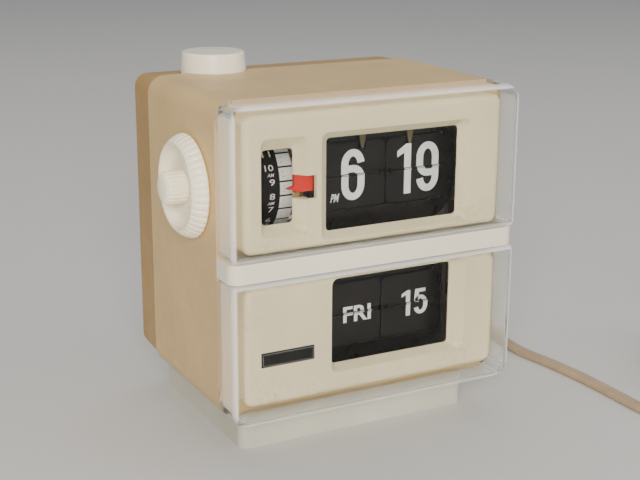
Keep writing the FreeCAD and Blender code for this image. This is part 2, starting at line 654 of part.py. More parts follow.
def make_buzzer():
    z0 = CASE_Z0 + WALL
    coil = cyl_z(BUZZER_X, BUZZER_Y, BUZZER_R, z0 + 3, z0 + 23)
    core = cyl_z(BUZZER_X, BUZZER_Y, BUZZER_R / 3, z0 + 2, z0 + 25)
    foot = box(BUZZER_X - 12, BUZZER_X + 14, BUZZER_Y - 11, BUZZER_Y + 11, z0, z0 + 3)
    return foot.fuse(coil).fuse(core)


def make_buzzer_reed():
    z0 = CASE_Z0 + WALL + 3
    x1 = BUZZER_X + BUZZER_R + 3.5
    post = box(x1 - 3, x1, BUZZER_Y - 4, BUZZER_Y + 4, z0, z0 + 23)
    blade = box(BUZZER_X - BUZZER_R - 2, x1, BUZZER_Y - 4, BUZZER_Y + 4, z0 + 23, z0 + 23.6)
    return post.fuse(blade)


def make_terminal_block():
    z0 = CASE_Z0 + WALL
    block = box(14, 34, 12, 24, z0, z0 + 10)
    for x in (19, 29):
        block = block.cut(cyl_z(x, 18, 1.8, z0 + 5, z0 + 11)).cut(cyl_y(x, z0 + 4, 1.4, 10, 26))
    return block


# ================================================================ alarm and time setting
RING_X0 = -CASE_X - KNOB_GAP
TIME_KNOB_X1 = RING_X0 - RING_DISH_FLOOR - KNOB_GAP


def revolve_x(points, y, z):
    """Turn an outline of (x, radius) points about the X line through y, z."""
    pts = [V(x, y, z + r) for x, r in points]
    face = Part.Face(Part.makePolygon(pts + pts[:1]))
    return face.revolve(V(0, y, z), V(1, 0, 0), 360)


def make_ring_knob():
    x_out = RING_X0 - RING_DEPTH
    x_floor = RING_X0 - RING_DISH_FLOOR
    outline = [(RING_X0, ALARM_SHAFT_R), (RING_X0, RING_R - 0.8), (RING_X0 - 0.8, RING_R),
               (RING_X0 - 3.2, RING_R - 0.4), (x_out + 1.2, RING_FACE_R + 0.6), (x_out, RING_FACE_R - 0.6),
               (x_out, RING_DISH_R + 0.7), (x_out + 0.8, RING_DISH_R), (x_floor, RING_DISH_R - 0.6),
               (x_floor, ALARM_SHAFT_R)]
    return revolve_x(outline, DIAL_Y, DIAL_Z)


def make_time_knob():
    x_out = TIME_KNOB_X1 - TIME_KNOB_LEN
    outline = [(TIME_KNOB_X1, 0), (TIME_KNOB_X1, TIME_KNOB_R), (x_out + 2.2, TIME_KNOB_R),
               (x_out + 0.8, TIME_KNOB_R - 1.2), (x_out, TIME_KNOB_R - 3.6), (x_out, 0)]
    knob = revolve_x(outline, DIAL_Y, DIAL_Z)
    return knob.cut(cyl_x(DIAL_Y, DIAL_Z, TIME_SHAFT_R, TIME_KNOB_X1 - 6, TIME_KNOB_X1 + 1))


def make_dial_drum():
    x0, x1 = DIAL_X
    drum = tube_x(DIAL_Y, DIAL_Z, DIAL_R, DIAL_R - DIAL_RIM, x0, x1)
    web = cyl_x(DIAL_Y, DIAL_Z, DIAL_R - DIAL_RIM / 2, x1 - 4.0, x1 - 2.0)
    hub = cyl_x(DIAL_Y, DIAL_Z, ALARM_SHAFT_R + 2, x1 - 12.0, x1 - 2.0)
    return drum.fuse(web).fuse(hub).cut(cyl_x(DIAL_Y, DIAL_Z, ALARM_SHAFT_R, x0 - 1, x1 + 1))


def make_alarm_cam():
    x0 = DIAL_X[1] - 1.9
    cam = cyl_x(DIAL_Y, DIAL_Z, CAM_R, x0, x0 + 1.6)
    cam = cam.cut(box(x0 - 1, x0 + 3, DIAL_Y - 1.2, DIAL_Y + 1.2, DIAL_Z + CAM_R - 1.6, DIAL_Z + CAM_R + 1))
    return cam.cut(cyl_x(DIAL_Y, DIAL_Z, ALARM_SHAFT_R, x0 - 1, x0 + 3))


def make_bush(side_x, direction, y, z, bore, hole_r, flange_r):
    """Flanged bush pushed into the case side from inside."""
    wall_in = side_x - direction * WALL
    body = cyl_x(y, z, hole_r, min(side_x, wall_in), max(side_x, wall_in))
    flange_end = wall_in - direction * 2.0
    flange = cyl_x(y, z, flange_r, min(wall_in, flange_end), max(wall_in, flange_end))
    return body.fuse(flange).cut(cyl_x(y, z, bore, -CASE_W, CASE_W))


# ================================================================ top button
BUTTON_Z1 = CASE_Z1 + BUTTON_RISE
FLANGE_Z1 = CASE_Z1 - WALL - FLANGE_DROP
FLANGE_T = 1.6
CAP_T = 2.2
GUIDE_Z1 = BUTTON_Z1 - STEM_LEN


def make_button():
    cap = Part.makeCone(BUTTON_R, BUTTON_TOP_R, BUTTON_RISE + 0.6, V(BUTTON_X, BUTTON_Y, CASE_Z1 - 0.6))
    cap = fillet_plane_z(cap, BUTTON_Z1, 1.0)
    skirt = cyl_z(BUTTON_X, BUTTON_Y, BUTTON_R, FLANGE_Z1 - FLANGE_T, CASE_Z1 - 0.6)
    flange = cyl_z(BUTTON_X, BUTTON_Y, BUTTON_R + BUTTON_FLANGE, FLANGE_Z1 - FLANGE_T, FLANGE_Z1)
    hollow = cyl_z(BUTTON_X, BUTTON_Y, BUTTON_TOP_R - 2.0, FLANGE_Z1 - FLANGE_T - 1, BUTTON_Z1 - CAP_T)
    stem = cyl_z(BUTTON_X, BUTTON_Y, BUTTON_STEM_R, GUIDE_Z1 - GUIDE_T - 1.5, BUTTON_Z1 - CAP_T)
    return cap.fuse(skirt).fuse(flange).cut(hollow).fuse(stem)


def make_button_guide():
    y_back = REAR_Y - WALL
    plate = box(BUTTON_X - 12, BUTTON_X + 12, BUTTON_Y - 9, y_back, GUIDE_Z1 - GUIDE_T, GUIDE_Z1)
    rib = box(BUTTON_X - 12, BUTTON_X + 12, y_back - 1.6, y_back, GUIDE_Z1 - 9, GUIDE_Z1 - GUIDE_T)
    return plate.fuse(rib).cut(cyl_z(BUTTON_X, BUTTON_Y, BUTTON_STEM_R + RUN_GAP, GUIDE_Z1 - 10, GUIDE_Z1 + 1))


def make_spring():
    z0 = GUIDE_Z1 + SPRING_WIRE_R + 0.05
    z1 = BUTTON_Z1 - CAP_T - SPRING_WIRE_R - 0.05
    helix = Part.makeHelix((z1 - z0) / SPRING_TURNS, z1 - z0, SPRING_R)
    start = helix.Edges[0].valueAt(helix.Edges[0].FirstParameter)
    tangent = helix.Edges[0].tangentAt(helix.Edges[0].FirstParameter)
    profile = Part.Wire(Part.Circle(start, tangent, SPRING_WIRE_R).toShape())
    wire = Part.Wire(helix).makePipeShell([profile], True, True)
    wire.translate(V(BUTTON_X, BUTTON_Y, z0))
    return wire


# ================================================================ cord
def make_strain_relief():
    x, z = CORD_EXIT
    inner = cyl_y(x, z, 5.2, REAR_Y - WALL - 1.6, REAR_Y - WALL)
    neck = cyl_y(x, z, 4.2, REAR_Y - WALL, REAR_Y)
    cone = Part.makeCone(5.6, CORD_D / 2 + 0.9, RELIEF_LEN, V(x, REAR_Y, z), V(0, 1, 0))
    return inner.fuse(neck).fuse(cone)


def cord_path(points):
    """Straight runs joined by tangent arcs; each arc is as large as its two runs allow."""
    pts = [V(*p) for p in points]
    edges, here, radii = [], pts[0], []
    for a, b, c in zip(pts, pts[1:], pts[2:]):
        into, out = (b - a), (c - b)
        run = min(into.Length, out.Length)
        into.normalize()
        out.normalize()
        turn = into.getAngle(out)
        cut = 0.45 * run
        radii.append(cut / math.tan(turn / 2))
        start, end = b - into * cut, b + out * cut
        toward = (out - into)
        toward.normalize()
        centre = b + toward * (radii[-1] / math.cos(turn / 2))
        middle = centre - toward * radii[-1]
        edges.append(Part.LineSegment(here, start).toShape())
        edges.append(Part.Arc(start, middle, end).toShape())
        here = end
    edges.append(Part.LineSegment(here, pts[-1]).toShape())
    return Part.Wire(edges), radii


def make_cord():
    path, radii = cord_path(CORD_POINTS)
    start = V(*CORD_POINTS[0])
    direction = V(*CORD_POINTS[1]) - start
    profile = Part.Wire(Part.Circle(start, direction, CORD_D / 2).toShape())
    tube = path.makePipeShell([profile], True, False)
    print("cord radii", [round(r, 1) for r in radii])
    print("cord length", round(path.Length, 1), "volume ratio",
          round(tube.Volume / (path.Length * math.pi * CORD_D ** 2 / 4), 4))
    return tube


def make_coil():
    x, y = COIL_CENTRE
    height = COIL_LAYERS * CORD_T
    ring = cyl_z(x, y, COIL_R[1], 0, height).cut(cyl_z(x, y, COIL_R[0], -1, height + 1))
    edges = [e for e in ring.Edges if e.Closed]
    return ring.makeFillet(2.0, edges)


PLUG_W, PLUG_T, PLUG_LEN = 24.0, 15.0, 34.0
PLUG_RELIEF = 14.0
PLUG_SIDE = 25.0          # the plug lies on the coil, to the right of its centre
PLUG_TIP = -3.4           # where its relief starts, from the coil's centre
PLUG_PIN_LEN, PLUG_PIN_R, PLUG_PIN_GAP = 17.0, 2.0, 12.7


def make_plug():
    x, tip = COIL_CENTRE[0] + PLUG_SIDE, COIL_CENTRE[1] + PLUG_TIP
    z = COIL_LAYERS * CORD_T
    y0 = tip + PLUG_RELIEF - 2
    y1 = y0 + PLUG_LEN
    body = box(x - PLUG_W / 2, x + PLUG_W / 2, y0, y1, z, z + PLUG_T)
    body = body.makeFillet(3.0, body.Edges)
    z_mid = z + PLUG_T / 2
    relief = Part.makeCone(CORD_D / 2 + 1.0, 5.5, PLUG_RELIEF, V(x, tip, z_mid), V(0, 1, 0))
    body = body.fuse(relief)
    for side in (-1, 1):
        pin = cyl_y(x + side * PLUG_PIN_GAP / 2, z_mid, PLUG_PIN_R, y1 - 2, y1 + PLUG_PIN_LEN)
        body = body.fuse(pin)
    return body


# ================================================================ assembly
def case_nodes():
    put("front_shell", make_front_shell())
    put("rear_cover", make_rear_cover())
    put("cover_screws", make_cover_screws())
    put("base_plinth", make_plinth())
    put("base_plate", make_base_plate())
    put("base_screws", make_base_screws())


def front_nodes():
    bar_top = BAR_Z0 + BAR_H
    put("divider_bar", make_bar())
    put("upper_lens", make_lens(bar_top, CASE_Z1, (LENS_BAR_R, LENS_BAR_R, CASE_R, CASE_R)))
    put("lower_lens", make_lens(CASE_Z0, BAR_Z0, (CASE_R, CASE_R, LENS_BAR_R, LENS_BAR_R)))
    put("upper_bezel", make_upper_bezel())
    put("lower_bezel", make_bezel(CASE_Z0 + LOWER_BEZEL_BOTTOM, BAR_Z0 - LOWER_BEZEL_TOP,
                                  [(CALENDAR_WINDOW, CALENDAR_BEVEL, WINDOW_DEPTH)]))
    put("blank_name_plate", make_name_plate())
    put("alarm_pointer", make_alarm_pointer())


def display_nodes():
    put("time_mask", make_mask(TIME_MASK, TIME_MASK_R, cutout_for(HOUR_X[0], MINUTE_X[1], TIME_Z)))
    put("calendar_mask", make_mask(CALENDAR_MASK, CALENDAR_MASK_R, cutout_for(DAY_X[0], DATE_X[1], CALENDAR_Z)))
    put("leaf_catches", make_catches())
    spans = {"hour": (HOUR_X, TIME_Z), "minute": (MINUTE_X, TIME_Z),
             "day": (DAY_X, CALENDAR_Z), "date": (DATE_X, CALENDAR_Z)}
    notches = {"hour": CATCH_X[0], "minute": CATCH_X[1]}
    for name, (span, z) in spans.items():
        put(name + "_leaf", make_moving_leaf(span, z, notches.get(name)))
        put(name + "_leaf_stack", make_leaf_stack(span, z))
    put("hour_spool", make_spool(HOUR_X, TIME_Z, AXLE_R + RUN_GAP))
    put("minute_spool", make_spool(MINUTE_X, TIME_Z, AXLE_R))
    put("day_spool", make_spool(DAY_X, CALENDAR_Z, AXLE_R))
    put("date_spool", make_spool(DATE_X, CALENDAR_Z, DATE_SHAFT_R))


def movement_nodes():
    left_holes = [(AXIS_Y, TIME_Z, AXLE_R + RUN_GAP), (AXIS_Y, CALENDAR_Z, AXLE_R + RUN_GAP),
                  (DIAL_Y, DIAL_Z, TIME_SHAFT_R + RUN_GAP)]
    right_holes = [(AXIS_Y, TIME_Z, AXLE_R + RUN_GAP), (AXIS_Y, CALENDAR_Z, DATE_SHAFT_R + RUN_GAP)]
    put("left_frame_plate", make_frame_plate(*LEFT_X, left_holes))
    put("right_frame_plate", make_frame_plate(*RIGHT_X, right_holes))
    put("frame_rods", make_rods())
    put("minute_axle", cyl_x(AXIS_Y, TIME_Z, AXLE_R, SET_WHEEL_X - 0.5, MINUTE_WHEEL_X + GEAR_T + 0.5))
    put("minute_wheel", gear_x(AXIS_Y, TIME_Z, GEAR_M, MINUTE_TEETH, MINUTE_WHEEL_X, AXLE_R, PINION_ANGLE))
    facing = math.degrees(math.atan2(DIAL_Z - TIME_Z, DIAL_Y - AXIS_Y))
    put("setting_wheel", gear_x(AXIS_Y, TIME_Z, SET_M, SET_WHEEL_TEETH, SET_WHEEL_X, AXLE_R, facing))
    put("setting_pinion", gear_x(DIAL_Y, DIAL_Z, SET_M, SET_PINION_TEETH, SET_WHEEL_X, TIME_SHAFT_R,
                                 facing + 180 + 180 / SET_PINION_TEETH))
    put("motor_housing", make_motor())
    put("motor_pinion", make_motor_pinion())
    put("neon_lamp", make_neon_lamp())
    put("lamp_holder", make_lamp_holder())
    put("buzzer_coil", make_buzzer())
    put("buzzer_reed", make_buzzer_reed())
    put("terminal_block", make_terminal_block())


def setting_nodes():
    put("alarm_ring_knob", make_ring_knob())
    put("alarm_hollow_shaft", tube_x(DIAL_Y, DIAL_Z, ALARM_SHAFT_R, TIME_SHAFT_R + RUN_GAP,
                                     RING_X0 - RING_DISH_FLOOR, DIAL_X[1] - 0.3))
    put("alarm_dial_drum", make_dial_drum())
    put("alarm_cam", make_alarm_cam())
    put("time_set_knob", make_time_knob())
    put("time_set_shaft", cyl_x(DIAL_Y, DIAL_Z, TIME_SHAFT_R, TIME_KNOB_X1 - 6, LEFT_X[1]))
    put("alarm_shaft_bush", make_bush(-CASE_X, -1, DIAL_Y, DIAL_Z, ALARM_SHAFT_R + RUN_GAP, BUSH_R - 1.5, BUSH_R))
    put("calendar_shaft_bush", make_bush(CASE_X, 1, AXIS_Y, CALENDAR_Z, DATE_SHAFT_R + RUN_GAP,
                                         DATE_SHAFT_R + 1.5, DATE_SHAFT_R + 3.0))
    date_x0 = CASE_X + KNOB_GAP
    date_x1 = date_x0 + DATE_KNOB_LEN
    put("date_set_shaft", tube_x(AXIS_Y, CALENDAR_Z, DATE_SHAFT_R, AXLE_R + RUN_GAP, DATE_X[0] + 0.4, date_x1))
    put("date_set_knob", tube_x(AXIS_Y, CALENDAR_Z, DATE_KNOB_R, DATE_SHAFT_R, date_x0, date_x1))
    day_x0 = date_x1 + KNOB_GAP
    day_shaft = cyl_x(AXIS_Y, CALENDAR_Z, AXLE_R, LEFT_X[0], day_x0 + 1)
    put("day_set_knob", day_shaft.fuse(cyl_x(AXIS_Y, CALENDAR_Z, DAY_KNOB_R, day_x0, day_x0 + DAY_KNOB_LEN)))


def button_nodes():
    put("top_button", make_button())
    put("button_guide", make_button_guide())
    put("button_spring", make_spring())


def cord_nodes():
    put("cord_strain_relief", make_strain_relief())
    put("mains_cord", make_cord())
    put("cord_coil", make_coil())
    put("mains_plug", make_plug())


case_nodes()
front_nodes()
display_nodes()
movement_nodes()
setting_nodes()
button_nodes()
cord_nodes()

os.makedirs("parts", exist_ok=True)
for node, shape in parts.items():
    shape.exportStep(os.path.join("parts", node + ".step"))
print(len(parts), "nodes")
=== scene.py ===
import json
import math

import bmesh
import bpy
from bpy.props import FloatProperty, FloatVectorProperty, IntProperty, PointerProperty, StringProperty
from bpy.types import Operator, Panel, PropertyGroup
from mathutils import Matrix, Vector


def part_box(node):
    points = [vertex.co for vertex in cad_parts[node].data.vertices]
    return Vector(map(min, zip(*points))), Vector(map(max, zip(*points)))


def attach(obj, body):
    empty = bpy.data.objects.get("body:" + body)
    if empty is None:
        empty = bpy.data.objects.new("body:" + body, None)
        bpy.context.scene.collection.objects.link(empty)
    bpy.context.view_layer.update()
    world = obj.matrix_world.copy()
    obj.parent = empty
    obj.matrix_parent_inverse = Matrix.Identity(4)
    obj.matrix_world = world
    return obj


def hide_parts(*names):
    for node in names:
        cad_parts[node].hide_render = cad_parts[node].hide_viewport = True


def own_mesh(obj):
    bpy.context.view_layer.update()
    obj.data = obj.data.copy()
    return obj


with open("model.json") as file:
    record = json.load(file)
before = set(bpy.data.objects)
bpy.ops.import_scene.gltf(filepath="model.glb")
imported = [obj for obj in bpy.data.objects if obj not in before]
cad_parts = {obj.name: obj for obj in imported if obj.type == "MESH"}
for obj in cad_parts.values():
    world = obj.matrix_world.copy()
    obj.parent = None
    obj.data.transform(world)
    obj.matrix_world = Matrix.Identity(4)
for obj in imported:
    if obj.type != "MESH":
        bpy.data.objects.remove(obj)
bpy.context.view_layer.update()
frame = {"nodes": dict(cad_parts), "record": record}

bl_info = {
    "name": "Flip Number Clock",
    "version": (1, 0, 0),
    "blender": (4, 5, 0),
    "location": "View3D > Sidebar > Flip Clock",
    "description": "Finishes a flip number clock on its packed frame, piece by piece",
    "category": "Object",
}


# ---------------------------------------------------------------- settings
def srgb(red, green, blue):
    """A colour given as 0 to 255 screen values, as Blender's linear one."""
    def linear(value):
        value /= 255
        return value / 12.92 if value <= 0.04045 else ((value + 0.055) / 1.055) ** 2.4
    return (linear(red), linear(green), linear(blue))


def colour(name, description, default):
    return FloatVectorProperty(name=name, description=description, default=default, subtype="COLOR", size=3, min=0, max=1)


def length(name, description, default):
    return FloatProperty(name=name, description=description, default=default, unit="LENGTH", subtype="DISTANCE", precision=5)


def bearing(name, description, degrees):
    return FloatProperty(name=name, description=description, default=math.radians(degrees), subtype="ANGLE", unit="ROTATION")


def tally(name, description, default):
    return IntProperty(name=name, description=description, default=default, min=8, max=120)


def wording(name, description, default):
    return StringProperty(name=name, description=description, default=default)


class CLOCK_PG_case(PropertyGroup):
    shell: colour("Shell", "Colour of the front shell", srgb(202, 172, 120))
    # Painted shade: the rear cover is darker than the shell partly because it has yellowed more and partly as painted
    # shade, for light that falls off towards the back.
    cover: colour("Rear cover", "Colour of the rear cover, which has yellowed more", srgb(166, 132, 78))
    plinth: colour("Plinth", "Colour of the plinth", srgb(188, 186, 170))
    bezel: colour("Bezels", "Colour of the two bezels", srgb(243, 228, 188))
    bar: colour("Bar", "Colour of the bar between the lenses", srgb(232, 222, 200))
    stain: colour("Stain", "Colour of the brown marks by the windows", srgb(168, 128, 78))
    plate: colour("Name plate", "Colour of the blank name plate", srgb(22, 20, 19))
    # Painted highlight: this width is the band of the lens rims painted pale and half opaque, standing in for their
    # bright reflections.
    lens_rim_highlight: length("Lens wall", "Width of the milky edge of the lenses", 0.0022)
    plate_rim: length("Plate rim", "Width of the bright line round the name plate", 0.00035)


class CLOCK_PG_display(PropertyGroup):
    leaf: colour("Leaves", "Colour of the number leaves and masks", srgb(19, 14, 12))
    catch: colour("Catches", "Colour of the catches that hold the leaves", srgb(98, 86, 58))
    digit: colour("Numbers", "Colour of the printed numbers", srgb(244, 246, 246))
    digit_height: length("Time height", "Height of the hour and minute numbers", 0.0208)
    letter_height: length("Day height", "Height of the day's letters", 0.0068)
    date_height: length("Date height", "Height of the date's numbers", 0.0112)
    mark_height: length("Mark height", "Height of the half-day mark beside the hour", 0.0034)
    film: length("Print thickness", "Thickness of the printed layer", 0.00003)
    hour: wording("Hour", "Hour that shows", "6")
    minute: wording("Minute", "Minute that shows", "19")
    day: wording("Day", "Day that shows", "FRI")
    date: wording("Date", "Date that shows", "15")


class CLOCK_PG_dial(PropertyGroup):
    step: bearing("Hour step", "Turn of the alarm drum for one hour", 15)
    first: bearing("First line", "Angle of the nine o'clock line above level", 8)
    cell_start: length("Cells start", "Where the white cells start, across the clock", -0.0365)
    cell_end: length("Cells end", "Where the white cells end, across the clock", -0.0306)
    numeral_end: length("Numerals end", "Right edge of the numerals, across the clock", -0.0386)
    numeral_height: length("Numeral height", "Height of the alarm numerals", 0.0025)
    cell: colour("Cells", "Colour of the white cells", srgb(250, 250, 246))
    pointer: colour("Pointer", "Colour of the alarm pointer", srgb(206, 28, 12))


class CLOCK_PG_knobs(PropertyGroup):
    ivory: colour("Ivory", "Colour of the knobs", srgb(254, 240, 212))
    button: colour("Button", "Colour of the top button", srgb(243, 233, 212))
    ring_flutes: tally("Ring flutes", "Grooves round the alarm ring", 42)
    ring_depth: length("Ring groove", "Depth of the alarm ring's grooves", 0.00055)
    time_flutes: tally("Time flutes", "Grooves round the time knob", 20)
    time_depth: length("Time groove", "Depth of the time knob's grooves", 0.00050)
    date_flutes: tally("Date flutes", "Grooves round the date knob", 30)
    day_flutes: tally("Day flutes", "Grooves round the day knob", 20)


class CLOCK_PG_cord(PropertyGroup):
    width: length("Width", "Width of the flat twin cord", 0.0062)
    thickness: length("Thickness", "Thickness of the flat twin cord", 0.0032)
    total: length("Length", "Length of the cord from the case to the plug", 1.75)
    sheath: colour("Sheath", "Colour of the cord's sheath", srgb(168, 146, 116))
    plug: colour("Plug", "Colour of the plug and the strain relief", srgb(150, 128, 98))


class CLOCK_PG_stage(PropertyGroup):
    floor: colour("Floor", "Colour of the floor", (0.62, 0.61, 0.59))
    camera: FloatVectorProperty(name="Camera", description="Place of the camera", default=(-0.25068, -0.47132, 0.22593),
                                subtype="XYZ", unit="LENGTH", size=3)
    heading: bearing("Heading", "Turn of the camera to the right of straight on", 28.07)
    tilt: bearing("Tilt", "Tilt of the camera below level", 15.99)
    roll: bearing("Roll", "Roll of the camera", 0.275)
    lens: FloatProperty(name="Lens", description="Focal length of the camera on a 36 mm sensor", default=72.0, unit="CAMERA")


# ---------------------------------------------------------------- places
def mm(x, y, z):
    return Vector((x, y, z)) * 0.001


def low(node):
    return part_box(node)[0]


def high(node):
    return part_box(node)[1]


def middle(node):
    return (low(node) + high(node)) / 2


# ---------------------------------------------------------------- finishes
class Finish:
    """A material of nodes that read Object coordinates, round one Principled shader."""

    def __init__(self, name, **sockets):
        self.material = bpy.data.materials.new(name)
        self.material.use_nodes = True
        self.tree = self.material.node_tree
        self.tree.nodes.clear()
        self.shader = self.add("ShaderNodeBsdfPrincipled")
        self.join(self.shader.outputs["BSDF"], self.add("ShaderNodeOutputMaterial").inputs["Surface"])
        self.where = self.add("ShaderNodeTexCoord").outputs["Object"]
        for key, value in sockets.items():
            self.shader.inputs[key.replace("_", " ").title().replace("Ior", "IOR")].default_value = value

    def add(self, kind, **settings):
        node = self.tree.nodes.new(kind)
        for key, value in settings.items():
            setattr(node, key, value)
        return node

    def join(self, source, target):
        self.tree.links.new(source, target)

    def noise(self, scale, detail=2.0, stretch=None, distortion=0.0):
        node = self.add("ShaderNodeTexNoise")
        node.inputs["Scale"].default_value = scale
        node.inputs["Detail"].default_value = detail
        node.inputs["Distortion"].default_value = distortion
        place = self.where
        if stretch:
            mapping = self.add("ShaderNodeMapping")
            mapping.inputs["Scale"].default_value = stretch
            self.join(place, mapping.inputs["Vector"])
            place = mapping.outputs["Vector"]
        self.join(place, node.inputs["Vector"])
        return node.outputs[0]

    def span(self, value, start, end, first, last):
        node = self.add("ShaderNodeMapRange")
        self.join(value, node.inputs[0])
        for socket, number in zip(node.inputs[1:5], (start, end, first, last)):
            socket.default_value = number
        return node.outputs[0]

    def maths(self, operation, first, second):
        node = self.add("ShaderNodeMath", operation=operation)
        for socket, value in zip(node.inputs, (first, second)):
            if isinstance(value, (int, float)):
                socket.default_value = value
            else:
                self.join(value, socket)
        return node.outputs[0]

    def blend(self, factor, first, second):
        node = self.add("ShaderNodeMix", data_type="RGBA")
        self.join(factor, node.inputs[0])
        for socket, value in zip(node.inputs[6:8], (first, second)):
            if isinstance(value, (tuple, list)):
                socket.default_value = (*value[:3], 1.0)
            else:
                self.join(value, socket)
        return node.outputs[2]

    def paint(self, value):
        self.join(value, self.shader.inputs["Base Color"])

    def roughen(self, value):
        self.join(value, self.shader.inputs["Roughness"])

    def emboss(self, height, depth, strength=1.0):
        node = self.add("ShaderNodeBump")
        node.inputs["Strength"].default_value = strength
        node.inputs["Distance"].default_value = depth
        self.join(height, node.inputs["Height"])
        self.join(node.outputs["Normal"], self.shader.inputs["Normal"])


def shade(tone, factor):
    return tuple(min(1.0, channel * factor) for channel in tone[:3])


def moulded_plastic(name, tone, roughness=0.42, variation=0.07, grain=0.0005, depth=0.000012, coat=0.0):
    """Moulded plastic: faint clouding of the colour, a fine skin grain and uneven gloss."""
    finish = Finish(name, coat_weight=coat, coat_roughness=0.18, ior=1.5)
    cloud = finish.span(finish.noise(22, 4, distortion=0.4), 0.34, 0.66, 0, 1)
    speck = finish.span(finish.noise(900, 2), 0.62, 0.74, 0, 0.35)
    body = finish.blend(cloud, shade(tone, 1 - variation), shade(tone, 1 + variation))
    finish.paint(finish.blend(speck, body, shade(tone, 0.82)))
    finish.roughen(finish.span(finish.noise(120, 3), 0.3, 0.7, roughness - 0.06, roughness + 0.08))
    finish.emboss(finish.noise(1 / grain, 3), depth)
    return finish


def bezel_plastic(name, tone, stain, marks):
    """Moulded plastic with a few brown handling marks near the windows' corners."""
    finish = moulded_plastic(name, tone, roughness=0.5, variation=0.05)
    body = finish.shader.inputs["Base Color"].links[0].from_socket
    patch = finish.span(finish.noise(420, 5), 0.50, 0.68, 0, 0.55)
    total = None
    for centre, radius, amount in marks:
        node = finish.add("ShaderNodeVectorMath", operation="DISTANCE")
        finish.join(finish.where, node.inputs[0])
        node.inputs[1].default_value = centre
        near = finish.span(node.outputs["Value"], 0, radius, amount, 0)
        total = near if total is None else finish.maths("MAXIMUM", total, near)
    finish.paint(finish.blend(finish.maths("MULTIPLY", patch, total), body, stain[:]))
    return finish


def clear_plastic_painted_rims(name, half_wide, front, low_edge, high_edge, rim):
    """Clear moulded plastic whose walls near the edges are painted pale and half opaque, a painted highlight for the
    bright rims, brightest along the front edge; faint scratches and mould flow.
    """
    finish = Finish(name, ior=1.22, base_color=(0.99, 1.0, 0.985, 1.0))
    axes = finish.add("ShaderNodeSeparateXYZ")
    finish.join(finish.where, axes.inputs[0])
    across = finish.span(finish.maths("ABSOLUTE", axes.outputs[0], 0), half_wide - rim, half_wide - rim * 0.6, 0, 1)
    middle, reach = (low_edge + high_edge) / 2, (high_edge - low_edge) / 2
    height = finish.maths("ABSOLUTE", finish.maths("SUBTRACT", axes.outputs[2], middle), 0)
    up = finish.span(height, reach - rim, reach - rim * 0.6, 0, 1)
    # Painted highlight: near the edges the walls lose their transmission and show as pale, half-clear white, standing
    # in for the bright reflections on the rims.
    wall = finish.maths("MAXIMUM", across, up)
    flow = finish.span(finish.noise(60, 4, stretch=(1, 1, 6)), 0.45, 0.75, 0.0, 0.05)
    finish.roughen(finish.maths("ADD", flow, finish.maths("MULTIPLY", wall, 0.12)))
    finish.join(finish.span(wall, 0, 1, 1.0, 0.0), finish.shader.inputs["Transmission Weight"])
    # Painted highlight: nearer the front edge the pale walls are made more opaque, a brighter painted line.
    edge = finish.span(axes.outputs[1], front + 0.0004, front + 0.0026, 0.42, 0.16)
    clearness = finish.maths("MULTIPLY", wall, finish.maths("SUBTRACT", 1.0, edge))
    finish.join(finish.maths("SUBTRACT", 1.0, clearness), finish.shader.inputs["Alpha"])
    finish.emboss(finish.noise(40, 2), 0.00003)
    return finish


def lamp_glass(name):
    """Clear glass of the small lamp, a little wavy."""
    finish = Finish(name, transmission_weight=1.0, ior=1.3, base_color=(0.99, 1.0, 0.985, 1.0))
    finish.roughen(finish.span(finish.noise(60, 4, stretch=(1, 1, 6)), 0.45, 0.75, 0.0, 0.05))
    finish.emboss(finish.noise(40, 2), 0.00003)
    return finish


def sheet_steel(name, tone=(0.46, 0.46, 0.45), roughness=0.34, stretch=(1, 1, 40)):
    """Plated steel with fine drawn lines and a little tarnish."""
    finish = Finish(name, metallic=1.0)
    lines = finish.noise(420, 3, stretch=stretch)
    cloud = finish.span(finish.noise(45, 4), 0.4, 0.7, 0, 1)
    finish.paint(finish.blend(cloud, shade(tone, 1.08), shade(tone, 0.84)))
    finish.roughen(finish.span(lines, 0.3, 0.7, roughness - 0.08, roughness + 0.1))
    finish.emboss(lines, 0.000008)
    return finish


def cut_brass(name):
    """Brass with a fine grain and darker, handled patches."""
    finish = Finish(name, metallic=1.0)
    cloud = finish.span(finish.noise(150, 5), 0.42, 0.66, 0, 1)
    finish.paint(finish.blend(cloud, srgb(214, 178, 96), srgb(168, 126, 58)))
    finish.roughen(finish.span(finish.noise(600, 2), 0.3, 0.7, 0.22, 0.4))
    finish.emboss(finish.noise(1800, 2), 0.000006)
    return finish


def taped_winding(name):
    """Amber tape wound in overlapping turns."""
    finish = Finish(name)
    wave = finish.add("ShaderNodeTexWave", bands_direction="Z", wave_profile="SAW")
    wave.inputs["Scale"].default_value = 90
    wave.inputs["Distortion"].default_value = 0.6
    finish.join(finish.where, wave.inputs["Vector"])
    finish.paint(finish.blend(wave.outputs[1], srgb(150, 98, 34), srgb(190, 134, 54)))
    finish.roughen(finish.span(finish.noise(300, 3), 0.3, 0.7, 0.3, 0.5))
    finish.emboss(wave.outputs[1], 0.00005)
    return finish


def soft_sheath(name, tone):
    """Flexible sheath with a faint waxy bloom and scuffs."""
    finish = Finish(name, ior=1.5, sheen_weight=0.08)
    cloud = finish.span(finish.noise(70, 4), 0.36, 0.66, 0, 1)
    scuff = finish.span(finish.noise(800, 3, stretch=(1, 1, 0.4)), 0.6, 0.72, 0, 0.5)
    body = finish.blend(cloud, shade(tone, 0.88), shade(tone, 1.08))
    finish.paint(finish.blend(scuff, body, shade(tone, 1.25)))
    finish.roughen(finish.span(finish.noise(260, 2), 0.3, 0.7, 0.38, 0.56))
    finish.emboss(finish.noise(1500, 2), 0.000015)
    return finish


